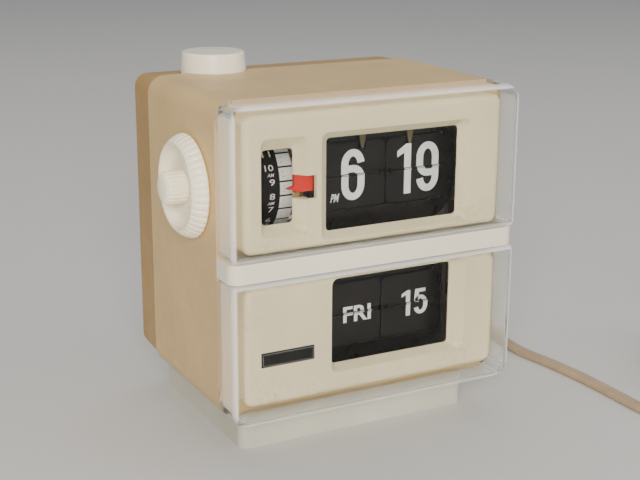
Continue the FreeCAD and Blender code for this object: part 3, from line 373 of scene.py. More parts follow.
def leaf_plastic(name, tone, roughness=0.34):
    """Thin black sheet with faint streaks along the leaf."""
    finish = Finish(name, ior=1.5, specular_ior_level=0.3)
    streak = finish.noise(160, 3, stretch=(0.15, 1, 1))
    finish.paint(finish.blend(finish.span(streak, 0.35, 0.7, 0, 1), shade(tone, 0.75), shade(tone, 1.35)))
    finish.roughen(finish.span(finish.noise(300, 3), 0.3, 0.7, roughness - 0.06, roughness + 0.08))
    finish.emboss(streak, 0.00001)
    return finish


def print_ink(name, tone):
    """Screen-printed ink: nearly even, with pinholes and a matt skin."""
    finish = Finish(name, ior=1.45)
    hole = finish.span(finish.noise(2600, 2), 0.66, 0.78, 0, 0.5)
    cloud = finish.span(finish.noise(120, 3), 0.35, 0.65, 0, 1)
    finish.paint(finish.blend(hole, finish.blend(cloud, shade(tone, 0.95), shade(tone, 1.03)), shade(tone, 0.5)))
    finish.roughen(finish.span(finish.noise(500, 2), 0.3, 0.7, 0.5, 0.66))
    finish.emboss(finish.noise(3000, 2), 0.000006)
    return finish


FINISHES = {}


def finish_of(name, maker, *details, **options):
    """One material for each name, made the first time that it is asked for."""
    if name not in FINISHES:
        FINISHES[name] = maker(name, *details, **options).material
    return FINISHES[name]


def coat_node(node, material):
    """Gives a carried-over node the material in every slot."""
    mesh = frame["nodes"][node].data
    if not mesh.materials:
        mesh.materials.append(material)
    for index in range(len(mesh.materials)):
        mesh.materials[index] = material


# ---------------------------------------------------------------- shapes
def body_of(node):
    for body, nodes in frame["record"]["behaviour"]["bodies"].items():
        if node in nodes:
            return body
    raise RuntimeError("no body holds " + node)


def slot_of(node):
    for entry in frame["record"]["subparts"]:
        if entry["node"] == node:
            return entry["material_slot"]
    raise RuntimeError("no slot for " + node)


def soften(bm, angle=32):
    """Smooth faces with a crisp line at every edge sharper than the angle."""
    for face in bm.faces:
        face.smooth = True
    for edge in bm.edges:
        edge.smooth = not (len(edge.link_faces) != 2 or edge.calc_face_angle(0) > math.radians(angle))


def piece_from(bm, name, body, slot, *materials, replaced=(), angle=32, outward=True, even=False):
    """Closes the mesh work and hands the piece to its body."""
    bmesh.ops.remove_doubles(bm, verts=bm.verts, dist=1e-6)
    if outward:
        bmesh.ops.recalc_face_normals(bm, faces=bm.faces)
    soften(bm, angle)
    mesh = bpy.data.meshes.new(name)
    bm.to_mesh(mesh)
    bm.free()
    for material in materials:
        mesh.materials.append(material)
    piece = bpy.data.objects.new(name, mesh)
    bpy.context.scene.collection.objects.link(piece)
    if even:
        weighting = piece.modifiers.new("even faces", "WEIGHTED_NORMAL")
        weighting.keep_sharp = True
    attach(piece, body)
    if replaced:
        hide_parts(*replaced)
    return piece


def smoothed(node, name, material, angle=28):
    """A joined-up copy of a node's mesh, so that its rounded edges shade smoothly."""
    bm = bmesh.new()
    bm.from_mesh(frame["nodes"][node].data)
    bmesh.ops.remove_doubles(bm, verts=bm.verts, dist=2e-6)
    for face in bm.faces:
        face.material_index = 0
    return piece_from(bm, name, body_of(node), slot_of(node), material, replaced=(node,), angle=angle,
                      outward=False, even=True)


def round_edges(bm, edges, offset, segments):
    bmesh.ops.bevel(bm, geom=edges, offset=offset, offset_type="OFFSET", affect="EDGES", segments=segments,
                    profile=0.5, material=-1)


def spun(profile, axis, centre, steps, closed=True):
    """A profile of (along, out) pairs, in metres, spun about an axis through a centre."""
    bm = bmesh.new()
    along, out = {"X": (Vector((1, 0, 0)), Vector((0, 0, 1))), "Y": (Vector((0, 1, 0)), Vector((1, 0, 0))),
                  "Z": (Vector((0, 0, 1)), Vector((1, 0, 0)))}[axis]
    points = [bm.verts.new(centre + along * a + out * max(r, 0.0)) for a, r in profile]
    edges = [bm.edges.new(pair) for pair in zip(points, points[1:])]
    if closed:
        edges.append(bm.edges.new((points[-1], points[0])))
    bmesh.ops.spin(bm, geom=points + edges, cent=centre, axis=along, dvec=(0, 0, 0), angle=2 * math.pi, steps=steps,
                   use_merge=True, use_duplicate=False)
    bmesh.ops.remove_doubles(bm, verts=bm.verts, dist=1e-7)
    return bm


def flute(bm, axis, centre, count, depth, outer, inner, reach):
    """Presses narrow grooves into the turned surface between two radii, on points within reach along the axis."""
    for vert in bm.verts:
        offset = vert.co - centre
        along = offset["XYZ".index(axis)]
        offset["XYZ".index(axis)] = 0
        radius = offset.length
        if radius < inner or not reach[0] <= along <= reach[1]:
            continue
        first, second = [offset[i] for i in range(3) if "XYZ"[i] != axis]
        phase = (math.atan2(second, first) / (2 * math.pi) * count) % 1.0
        near = min(phase, 1 - phase)
        dip = depth * max(0.0, 1 - near / 0.24) ** 1.2 * min(1.0, radius / outer)
        vert.co -= offset.normalized() * dip


def placed_text(words, height, width, place, lean=0.0, weight=0.0, anchor="MIDDLE"):
    """Flat lettering as a mesh that faces the front, its lower edge and middle, left or right at place."""
    curve = bpy.data.curves.new("lettering", "FONT")
    curve.body = words
    curve.size = 1.0
    curve.shear = lean
    curve.offset = weight
    curve.resolution_u = 6
    holder = bpy.data.objects.new("lettering", curve)
    bpy.context.scene.collection.objects.link(holder)
    bpy.context.view_layer.update()
    mesh = bpy.data.meshes.new_from_object(holder.evaluated_get(bpy.context.evaluated_depsgraph_get()))
    bpy.data.objects.remove(holder)
    bpy.data.curves.remove(curve)
    bm = bmesh.new()
    bm.from_mesh(mesh)
    bpy.data.meshes.remove(mesh)
    bmesh.ops.remove_doubles(bm, verts=bm.verts, dist=1e-5)
    xs = [vert.co.x for vert in bm.verts]
    ys = [vert.co.y for vert in bm.verts]
    x0, x1, y0, y1 = min(xs), max(xs), min(ys), max(ys)
    scale_y = height / (y1 - y0)
    scale_x = width / (x1 - x0) if width else scale_y
    start = {"LEFT": x0, "MIDDLE": (x0 + x1) / 2, "RIGHT": x1}[anchor]
    for vert in bm.verts:
        vert.co = place + Vector(((vert.co.x - start) * scale_x, 0, (vert.co.y - y0) * scale_y))
    return bm


def sweep(centre, across, up, start, end, steps=14):
    """Points on part of an ellipse, its start and end in degrees."""
    turns = [math.radians(start + (end - start) * step / steps) for step in range(steps + 1)]
    return [(centre[0] + across * math.cos(turn), centre[1] + up * math.sin(turn)) for turn in turns]


def digit_lines(character, wide, thick):
    """Middle lines of one condensed number of height 1, as a list of runs of points."""
    left, right, low, top = thick / 2, wide - thick / 2, thick / 2, 1 - thick / 2
    mid, half, bend = (left + right) / 2, (right - left) / 2, 0.235
    if character == "0":
        return [sweep((mid, top - bend), half, bend, 0, 180) + sweep((mid, low + bend), half, bend, 180, 360) + [(right, top - bend)]]
    if character == "2":
        return [sweep((mid, top - bend), half, bend, 172, -28) + [(left, low + thick * 0.55)], [(0, low), (wide, low)]]
    if character == "5":
        return [[(right, top), (left + thick * 0.35, top), (left + thick * 0.1, 0.5)],
                sweep((mid, 0.37), half, 0.37 - low, 148, -160, 22)]
    if character == "7":
        return [[(0, top), (right, top), (mid - thick * 0.3, 0)]]
    nine = [sweep((mid, low + bend), half, bend, 188, 360) + sweep((mid, top - bend), half, bend, 0, 180)
            + sweep((mid, 0.38 + bend * 0.8), half, bend * 0.8, 180, 272) + [(right - thick / 2, 0.385)]]
    return nine if character == "9" else [[(wide - x, 1 - y) for x, y in nine[0]]]


def ribbon(bm, points, thick):
    """Adds a flat band of even width along a run of points."""
    rails = []
    for index, (x, y) in enumerate(points):
        before, after = points[max(index - 1, 0)], points[min(index + 1, len(points) - 1)]
        steps = [Vector((x - before[0], y - before[1])), Vector((after[0] - x, after[1] - y))]
        ways = [step.normalized() for step in steps if step.length > 1e-6]
        way = sum(ways, Vector((0, 0))).normalized()
        reach = thick / 2 / max(0.4, way.dot(ways[0]))
        rails.append([bm.verts.new((x - side * way.y * reach, y + side * way.x * reach, 0)) for side in (1, -1)])
    for first, second in zip(rails, rails[1:]):
        bm.faces.new((first[0], first[1], second[1], second[0]))


def drawn_number(words, height, width, place, thick=0.14, wide=0.465, gap=0.115):
    """Flat condensed numbers as a mesh that faces the front, fitted like placed_text."""
    bm = bmesh.new()
    start = 0.0
    for character in words:
        piece = bmesh.new()
        if character == "1":
            flag = thick * 1.04
            outline = ((flag, 0), (flag + thick, 0), (flag + thick, 1), (flag + thick * 0.25, 1), (0, 0.87), (0, 0.745), (flag, 0.825))
            piece.faces.new([piece.verts.new((x, y, 0)) for x, y in outline])
            advance = flag + thick
        else:
            for run in digit_lines(character, wide, thick):
                ribbon(piece, run, thick)
            advance = wide
        bmesh.ops.translate(piece, vec=(start, 0, 0), verts=piece.verts)
        absorb(bm, piece)
        start += advance + gap
    total = start - gap
    for vert in bm.verts:
        vert.co = place + Vector(((vert.co.x / total - 0.5) * width, 0, vert.co.y * height))
    bm.normal_update()
    return bm


def raise_print(bm, thickness):
    """Gives flat lettering that faces the front its thin layer of ink."""
    for face in bm.faces:
        if face.normal.y > 0:
            face.normal_flip()
    bm.normal_update()
    made = bmesh.ops.extrude_face_region(bm, geom=bm.faces[:])
    moved = [item for item in made["geom"] if isinstance(item, bmesh.types.BMVert)]
    bmesh.ops.translate(bm, vec=(0, -thickness, 0), verts=moved)


def absorb(target, source, material=0):
    """Adds one mesh in work to another."""
    mesh = bpy.data.meshes.new("part")
    for face in source.faces:
        face.material_index = material
    source.to_mesh(mesh)
    source.free()
    target.from_mesh(mesh)
    bpy.data.meshes.remove(mesh)


def cut_at(bm, height, keep_above):
    """Keeps what lies above or below a height."""
    bmesh.ops.bisect_plane(bm, geom=bm.verts[:] + bm.edges[:] + bm.faces[:], dist=1e-7, plane_co=(0, 0, height),
                           plane_no=(0, 0, 1), clear_inner=keep_above, clear_outer=not keep_above)


def block(x0, x1, y0, y1, z0, z1, bevel=0.0, segments=2):
    """A block in metres, with its edges rounded by the bevel."""
    bm = bmesh.new()
    bmesh.ops.create_cube(bm, size=1.0)
    bmesh.ops.scale(bm, vec=(x1 - x0, y1 - y0, z1 - z0), verts=bm.verts)
    bmesh.ops.translate(bm, vec=((x0 + x1) / 2, (y0 + y1) / 2, (z0 + z1) / 2), verts=bm.verts)
    if bevel:
        round_edges(bm, bm.edges[:], bevel, segments)
    return bm


# ---------------------------------------------------------------- stage
class CLOCK_OT_stage(Operator):
    """Sets out the floor, the lights and the camera"""
    bl_idname = "clock.stage"
    bl_label = "Stage"

    def execute(self, context):
        values = context.scene.clock_stage
        bm = bmesh.new()
        bmesh.ops.create_grid(bm, x_segments=4, y_segments=4, size=6.0)
        mesh = bpy.data.meshes.new("floor")
        bm.to_mesh(mesh)
        bm.free()
        floor = bpy.data.objects.new("floor", mesh)
        context.scene.collection.objects.link(floor)
        finish = Finish("pale_floor")
        cloud = finish.noise(3, 3)
        finish.paint(finish.blend(cloud, shade(values.floor, 0.97), shade(values.floor, 1.03)))
        finish.roughen(finish.span(finish.noise(30, 2), 0.3, 0.7, 0.55, 0.7))
        mesh.materials.append(finish.material)

        world = bpy.data.worlds.new("soft room")
        context.scene.world = world
        world.use_nodes = True
        world.node_tree.nodes["Background"].inputs["Color"].default_value = (0.80, 0.82, 0.86, 1)
        world.node_tree.nodes["Background"].inputs["Strength"].default_value = 0.42

        for name, place, aim, width, height, power, tone in (
            ("key light", (-0.85, -1.65, 0.75), (0, -0.02, 0.07), 0.9, 0.7, 50, (1.0, 0.955, 0.88)),
            ("fill light", (1.5, -1.1, 0.7), (0, 0, 0.07), 1.2, 1.0, 9, (0.9, 0.95, 1.0)),
            ("top light", (0.1, 0.4, 1.6), (0, 0, 0.1), 1.4, 1.4, 9, (1.0, 0.98, 0.95)),
        ):
            lamp = bpy.data.lights.new(name, "AREA")
            lamp.shape = "RECTANGLE"
            lamp.size, lamp.size_y, lamp.energy, lamp.color = width, height, power, tone
            holder = bpy.data.objects.new(name, lamp)
            context.scene.collection.objects.link(holder)
            holder.location = place
            holder.rotation_euler = (Vector(aim) - Vector(place)).to_track_quat("-Z", "Y").to_euler()

        camera = bpy.data.cameras.new("camera")
        camera.lens, camera.sensor_width, camera.clip_start = values.lens, 36.0, 0.01
        holder = bpy.data.objects.new("camera", camera)
        context.scene.collection.objects.link(holder)
        holder.location = values.camera
        holder.rotation_euler = (Matrix.Rotation(-values.heading, 3, "Z") @ Matrix.Rotation(math.pi / 2 - values.tilt, 3, "X")
                                 @ Matrix.Rotation(values.roll, 3, "Z")).to_euler()
        context.scene.camera = holder
        return {"FINISHED"}


# ---------------------------------------------------------------- cord
ROUTE = ((36, 80, 27), (36, 94.7, 27), (42.7, 106.3, 20.5), (54.3, 113, 10.5), (70, 113.2, 2.2), (90, 112.5, 1.6),
         (108.7, 111.5, 1.6), (121.3, 104.3, 1.6), (128.5, 91.7, 1.6), (129, 73, 1.6), (125, 52, 1.6), (119, 35, 1.6),
         (113.5, 18, 1.6), (112, 0, 1.6), (115.5, -19, 1.6), (117.3, -40, 1.6), (117.5, -62, 1.6), (117, -85.5, 1.6),
         (124.2, -98.3, 1.6), (136.8, -105.5, 1.6), (152, -106.6, 1.6))
COIL_CENTRE = (180.0, -70.6)
COIL_OUTSIDE = 36.5  # middle of the cord in the outermost turn
COIL_TURNS = 7.02
COIL_START = 262  # degrees
COIL_STEPS = 20  # points to a turn
SPLINE_SHRINK = 0.988  # how far inside its points a round spline runs
CLIMB = 0.12  # half the part of a turn in which the cord climbs a layer
REST_HEIGHT = 1.6  # middle of the cord above the floor
TO_PLUG = ((190.4, -101.2, 12.9), (205, -86.6, 18.3), (205, -74, 20.3))


def coil_points(pitch=6.2, layer_height=3.2):
    """Seven turns in four layers, winding inward and outward by turns, each layer lying on the one before."""
    points = []
    for step in range(1, int(COIL_TURNS * COIL_STEPS) + 1):
        turns = step / COIL_STEPS
        layer, part = int(turns / 2), turns % 2
        radius = COIL_OUTSIDE - pitch * (part if layer % 2 == 0 else 2 - part)
        height = REST_HEIGHT + layer_height * layer
        for change in (2, 4, 6):
            if abs(turns - change) < CLIMB:
                rise = (turns - change + CLIMB) / (2 * CLIMB)
                height = REST_HEIGHT + layer_height * (change / 2 - 1 + rise * rise * (3 - 2 * rise))
        angle = math.radians(COIL_START) + turns * 2 * math.pi
        reach = radius / SPLINE_SHRINK
        points.append((COIL_CENTRE[0] + reach * math.cos(angle), COIL_CENTRE[1] + reach * math.sin(angle), height))
    return points


def cord_line():
    """The cord's smooth line, read from a NURBS spline on its route."""
    route = [Vector(point) * 0.001 for point in (*ROUTE, *coil_points(), *TO_PLUG)]
    curve = bpy.data.curves.new("cord route", "CURVE")
    curve.dimensions = "3D"
    curve.resolution_u = 5
    spline = curve.splines.new("NURBS")
    spline.points.add(len(route) - 1)
    for point, place in zip(spline.points, route):
        point.co = (*place, 1.0)
    spline.order_u = 3
    spline.use_endpoint_u = True
    holder = bpy.data.objects.new("cord route", curve)
    bpy.context.scene.collection.objects.link(holder)
    bpy.context.view_layer.update()
    mesh = bpy.data.meshes.new_from_object(holder.evaluated_get(bpy.context.evaluated_depsgraph_get()))
    line = [vert.co.copy() for vert in mesh.vertices]
    bpy.data.objects.remove(holder)
    bpy.data.curves.remove(curve)
    bpy.data.meshes.remove(mesh)
    return line


def twin_section(width, thickness):
    """Half-round lobes joined by a narrow web, as (across, up) pairs."""
    lobe = thickness / 2
    centre = width / 2 - lobe
    turns = [math.radians(degrees) for degrees in (-125, -95, -60, -25, 0, 25, 60, 95, 125)]
    right = [(centre + lobe * math.cos(turn), lobe * math.sin(turn)) for turn in turns]
    web = [(0.0, lobe * 0.52)]
    return right + web + [(-x, -z) for x, z in right] + [(-x, -z) for x, z in web]


def flat_tube(line, section):
    """The section drawn along the line, kept level."""
    bm = bmesh.new()

    def ring_at(index):
        before, after = line[max(index - 1, 0)], line[min(index + 1, len(line) - 1)]
        ahead = (after - before).normalized()
        across = ahead.cross(Vector((0, 0, 1))).normalized()
        return [line[index] + across * x + across.cross(ahead) * z for x, z in section]

    verts = [bm.verts.new(place) for place in ring_at(0)]
    edges = [bm.edges.new((verts[i], verts[(i + 1) % len(verts)])) for i in range(len(verts))]
    bmesh.ops.contextual_create(bm, geom=edges)
    ring = verts
    for index in range(1, len(line)):
        made = bmesh.ops.extrude_edge_only(bm, edges=edges)
        edges = [item for item in made["geom"] if isinstance(item, bmesh.types.BMEdge) and len(item.link_faces) == 1]
        places = ring_at(index)
        previous = {vert: number for number, vert in enumerate(ring)}
        following = [None] * len(ring)
        for item in made["geom"]:
            if isinstance(item, bmesh.types.BMVert):
                for edge in item.link_edges:
                    other = edge.other_vert(item)
                    if other in previous:
                        following[previous[other]] = item
        for vert, place in zip(following, places):
            vert.co = place
        ring = following
    bmesh.ops.contextual_create(bm, geom=edges)
    return bm


def ribbed_profile(start, end, thick, thin, ribs, groove):
    """A tapering sleeve's outline, with grooves round it."""
    points = [(start, thick - 0.0004), (start + 0.0004, thick)]
    pitch = (end - start) * 0.72 / ribs
    for number in range(ribs):
        a = start + (end - start) * 0.14 + number * pitch
        for part, sunk in ((0.0, 0), (0.08, 1), (0.42, 1), (0.5, 0)):
            along = a + part * pitch
            radius = thick + (thin - thick) * (along - start) / (end - start)
            points.append((along, radius - (groove if sunk else 0)))
    points += [(end - 0.0006, thin), (end, thin - 0.0005)]
    return points


class CLOCK_OT_cord(Operator):
    """Lays the flat mains cord with its coil, strain relief and plug"""
    bl_idname = "clock.cord"
    bl_label = "Mains cord"

    def execute(self, context):
        values = context.scene.clock_cord
        sheath = finish_of("cord_sheath", soft_sheath, values.sheath[:])
        rubber = finish_of("plug_rubber", soft_sheath, values.plug[:])
        pins = finish_of("pin_metal", sheet_steel, (0.62, 0.58, 0.48), 0.24)
        line = cord_line()
        section = twin_section(values.width, values.thickness)
        cord = piece_from(flat_tube(line, section), "flat_mains_cord", "case", "cord_pvc", sheath,
                          replaced=("mains_cord", "cord_coil"), angle=50)

        lo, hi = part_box("cord_strain_relief")
        centre = Vector((middle("cord_strain_relief").x, 0, middle("cord_strain_relief").z))
        profile = [(lo.y, 0.0), (lo.y, 0.0048)] + ribbed_profile(0.0532, hi.y, 0.0056, 0.0040, 7, 0.0007) + [(hi.y, 0.0)]
        piece_from(spun(profile, "Y", centre, 48, closed=False), "ribbed_strain_relief", "case", "cord_pvc", rubber,
                   replaced=("cord_strain_relief",), angle=40)

        lo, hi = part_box("mains_plug")
        middle_x, middle_z = (lo.x + hi.x) / 2, (lo.z + hi.z) / 2
        start, end = lo.y + 0.012, lo.y + 0.046
        bm = block(lo.x, hi.x, start, end, lo.z, hi.z)
        for vert in bm.verts:
            if vert.co.y < (start + end) / 2:
                vert.co.x = middle_x + (vert.co.x - middle_x) * 0.62
                vert.co.z = middle_z + (vert.co.z - middle_z) * 0.86
        round_edges(bm, bm.edges[:], 0.0028, 4)
        for number in range(5):
            y = start + 0.008 + number * 0.0035
            for side in (-1, 1):
                reach = 0.0076 + (y - start) / (end - start) * 0.0038
                x = middle_x + side * reach
                absorb(bm, block(x - 0.0009, x + 0.0009, y, y + 0.0016, middle_z - 0.0042, middle_z + 0.0042, 0.0004))
        tail = [(lo.y, 0.0), *ribbed_profile(lo.y, start + 0.002, 0.0041, 0.0055, 4, 0.0006), (start + 0.002, 0.0)]
        absorb(bm, spun(tail, "Y", Vector((middle_x, 0, middle_z)), 40, closed=False))
        for side in (-1, 1):
            pin = [(end - 0.002, 0.0), (end - 0.002, 0.002), (hi.y - 0.0016, 0.002), (hi.y - 0.0005, 0.0015),
                   (hi.y, 0.0006), (hi.y, 0.0)]
            absorb(bm, spun(pin, "Y", Vector((middle_x + side * 0.00635, 0, middle_z)), 24, closed=False), 1)
        plug = piece_from(bm, "two_pin_plug", "case", "cord_pvc", rubber, pins, replaced=("mains_plug",), angle=40)
        return {"FINISHED"}


# ---------------------------------------------------------------- case
class CLOCK_OT_case(Operator):
    """Finishes the front shell, the rear cover, the plinth and their screws"""
    bl_idname = "clock.case"
    bl_label = "Case"

    def execute(self, context):
        values = context.scene.clock_case
        shell = finish_of("shell_plastic", moulded_plastic, values.shell[:], roughness=0.46)
        # Painted shade: the cover's darker colour holds painted shade for the back of the case as well as its own
        # yellowing.
        cover = finish_of("cover_plastic", moulded_plastic, values.cover[:], roughness=0.48, variation=0.09)
        plinth = finish_of("plinth_plastic", moulded_plastic, values.plinth[:], roughness=0.46)
        smoothed("front_shell", "moulded_front_shell", shell)
        smoothed("rear_cover", "moulded_rear_cover", cover)
        smoothed("base_plinth", "moulded_plinth", plinth)
        coat_node("base_plate", plinth)
        coat_node("button_guide", cover)
        steel = finish_of("screw_steel", sheet_steel, (0.5, 0.49, 0.46), 0.3, (1, 1, 1))
        coat_node("cover_screws", steel)
        coat_node("base_screws", steel)
        return {"FINISHED"}


# ---------------------------------------------------------------- bezels
class CLOCK_OT_bezels(Operator):
    """Finishes the two bezels, the bar between the lenses and the blank name plate"""
    bl_idname = "clock.bezels"
    bl_label = "Bezels and bar"

    def execute(self, context):
        values = context.scene.clock_case
        upper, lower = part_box("upper_bezel"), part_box("lower_bezel")
        marks = [
            (mm(-35, -49, 93), 0.010, 0.55), (mm(42, -49, 90), 0.013, 0.6), (mm(-50, -49, 131), 0.007, 0.35),
            (upper[0] + Vector((0.012, 0, 0.004)), 0.010, 0.5),
        ]
        upper_finish = finish_of("upper_bezel_plastic", bezel_plastic, values.bezel[:], values.stain[:], marks)
        marks = [
            (mm(-48, -49, 27), 0.012, 0.75), (mm(40, -49, 30), 0.012, 0.5), (mm(-57, -49, 60), 0.007, 0.5),
            (lower[0] + Vector((0.03, 0, 0.002)), 0.012, 0.5),
        ]
        lower_finish = finish_of("lower_bezel_plastic", bezel_plastic, values.bezel[:], values.stain[:], marks)
        bar = finish_of("bar_plastic", moulded_plastic, values.bar[:], roughness=0.4, variation=0.04)
        smoothed("upper_bezel", "stained_upper_bezel", upper_finish)
        smoothed("lower_bezel", "stained_lower_bezel", lower_finish)
        smoothed("divider_bar", "smooth_divider_bar", bar)

        lo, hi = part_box("blank_name_plate")
        black = finish_of("plate_lacquer", leaf_plastic, values.plate[:], 0.22)
        silver = finish_of("plate_line", sheet_steel, (0.34, 0.34, 0.33), 0.26, (40, 1, 1))
        bm = block(lo.x, hi.x, lo.y, hi.y, lo.z, hi.z)
        front = min(bm.faces, key=lambda face: face.calc_center_median().y)
        round_edges(bm, list(front.edges), 0.0002, 2)
        front = max((face for face in bm.faces if face.normal.y < -0.9), key=lambda face: face.calc_area())
        bmesh.ops.inset_region(bm, faces=[front], thickness=0.00045, depth=0)
        rim = bmesh.ops.inset_region(bm, faces=[front], thickness=values.plate_rim, depth=0)["faces"]
        for face in rim:
            face.material_index = 1
        piece_from(bm, "lined_name_plate", "case", "black_plastic", black, silver, replaced=("blank_name_plate",))
        return {"FINISHED"}


class CLOCK_OT_lenses(Operator):
    """Finishes the two clear lenses, their rims painted pale as a painted highlight"""
    bl_idname = "clock.lenses"
    bl_label = "Lenses"

    def execute(self, context):
        for node, name in (("upper_lens", "clear_upper_lens"), ("lower_lens", "clear_lower_lens")):
            lo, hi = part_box(node)
            smoothed(node, name, finish_of(name + "_plastic", clear_plastic_painted_rims, hi.x, lo.y, lo.z, hi.z, context.scene.clock_case.lens_rim_highlight))
        return {"FINISHED"}


# ---------------------------------------------------------------- leaves
def lettering(words, height, width, place, lean, weight):
    """Drawn numbers, or letters from the built-in face."""
    return drawn_number(words, height, width, place) if words.isdigit() else placed_text(words, height, width, place, lean, weight)


def halves(words, height, width, place, lean, weight, split, film):
    """Two thin prints, above and below the split line, as meshes in work."""
    made = []
    for above in (True, False):
        bm = lettering(words, height, width, place, lean, weight)
        cut_at(bm, split, above)
        raise_print(bm, film)
        made.append(bm)
    return made


def seams(words, height, width, place, lean, weight, hinge, pin, film):
    """The two narrow bands of print that lie round the front of a leaf's hinge pin."""
    made = []
    for start, end in ((-pin, -0.0001), (0.0001, pin)):
        bm = lettering(words, height, width, place, lean, weight)
        cut_at(bm, hinge.z + start, True)
        cut_at(bm, hinge.z + end, False)
        for part in (0.25, 0.5, 0.75):
            bmesh.ops.bisect_plane(bm, geom=bm.verts[:] + bm.edges[:] + bm.faces[:], dist=1e-7,
                                   plane_co=(0, 0, hinge.z + start + (end - start) * part), plane_no=(0, 0, 1))
        raise_print(bm, film)
        for vert in bm.verts:
            rise = vert.co.z - hinge.z
            reach = pin + 0.00001 + (place.y - vert.co.y)
            vert.co.y = hinge.y - math.sqrt(max(0.0, reach * reach - rise * rise))
        made.append(bm)
    return made


class CLOCK_OT_leaves(Operator):
    """Finishes the leaves and prints the numbers on them"""
    bl_idname = "clock.leaves"
    bl_label = "Number leaves"

    def execute(self, context):
        values = context.scene.clock_display
        leaf = finish_of("leaf_plastic", leaf_plastic, values.leaf[:])
        mask = finish_of("mask_plastic", leaf_plastic, values.leaf[:], 0.3)
        ink = finish_of("white_ink", print_ink, values.digit[:])
        smoky = finish_of("catch_plastic", moulded_plastic, values.catch[:], roughness=0.4)
        for name in ("hour", "minute", "day", "date"):
            coat_node(name + "_leaf", leaf)
            coat_node(name + "_leaf_stack", leaf)
        coat_node("leaf_catches", smoky)
        smoothed("time_mask", "round_time_mask", mask)
        smoothed("calendar_mask", "round_calendar_mask", mask)

        pivots = {joint["name"]: Vector(joint["pos_m"]) for joint in frame["record"]["behaviour"]["joints"] if joint["type"] == "hinge"}
        film = values.film
        for words, following, name, node, centre, bottom, height, width, lean, weight in (
            (values.hour, "7", "hour", "hour_leaf", -0.0049, 0.1000, values.digit_height, 0.0106, 0, 0.035),
            (values.minute, "20", "minute", "minute_leaf", 0.02565, 0.0999, values.digit_height, 0.0199, 0, 0.035),
            (values.day, "SAT", "day", "day_leaf", -0.00215, 0.0482, values.letter_height, 0.0131, 0, 0.025),
            (values.date, "16", "date", "date_leaf", 0.0257, 0.0466, values.date_height, 0.0128, 0, 0.03),
        ):
            hinge = pivots[name + "_leaf_fall"]
            split, front = hinge.z, hinge.y + 0.0003
            upper, lower = halves(words, height, width, Vector((centre, front, bottom)), lean, weight, split, film)
            cut_at(lower, split - 0.0004, False)
            behind = lettering(following, height, width, Vector((centre, hinge.y - 0.0007, bottom)), lean, weight)
            cut_at(behind, split, False)
            raise_print(behind, film)
            bmesh.ops.rotate(behind, cent=hinge, matrix=Matrix.Rotation(math.pi, 3, "X"), verts=behind.verts)
            absorb(upper, behind)
            for seam in seams(words, height, width, Vector((centre, front, bottom)), lean, weight, hinge, hinge.y - low(node).y, film):
                absorb(upper, seam)
            piece_from(upper, name + "_number_top", body_of(node), "white_plastic", ink, outward=False, angle=60)
            resting = hinge.y + 0.0001
            bmesh.ops.translate(lower, vec=(0, resting - front, 0), verts=lower.verts)
            if name == "hour":
                mark = placed_text("PM", values.mark_height, 0.0041, Vector((-0.0131, resting, 0.1000)), 0.3, 0.03)
                raise_print(mark, film)
                absorb(lower, mark)
            piece_from(lower, name + "_number_foot", "case", "white_plastic", ink, outward=False, angle=60)
        return {"FINISHED"}


# ---------------------------------------------------------------- alarm dial
def wrap(bm, axis_y, axis_z, radius):
    """Lays lettering that stands at the front of a drum round the drum, level with its axis at angle nought."""
    bmesh.ops.subdivide_edges(bm, edges=[edge for edge in bm.edges if edge.calc_length() > 0.0004], cuts=2, use_grid_fill=True)
    bmesh.ops.triangulate(bm, faces=bm.faces)
    for vert in bm.verts:
        angle = (vert.co.z - axis_z) / radius
        out = radius - vert.co.y
        vert.co.y, vert.co.z = axis_y - out * math.cos(angle), axis_z + out * math.sin(angle)


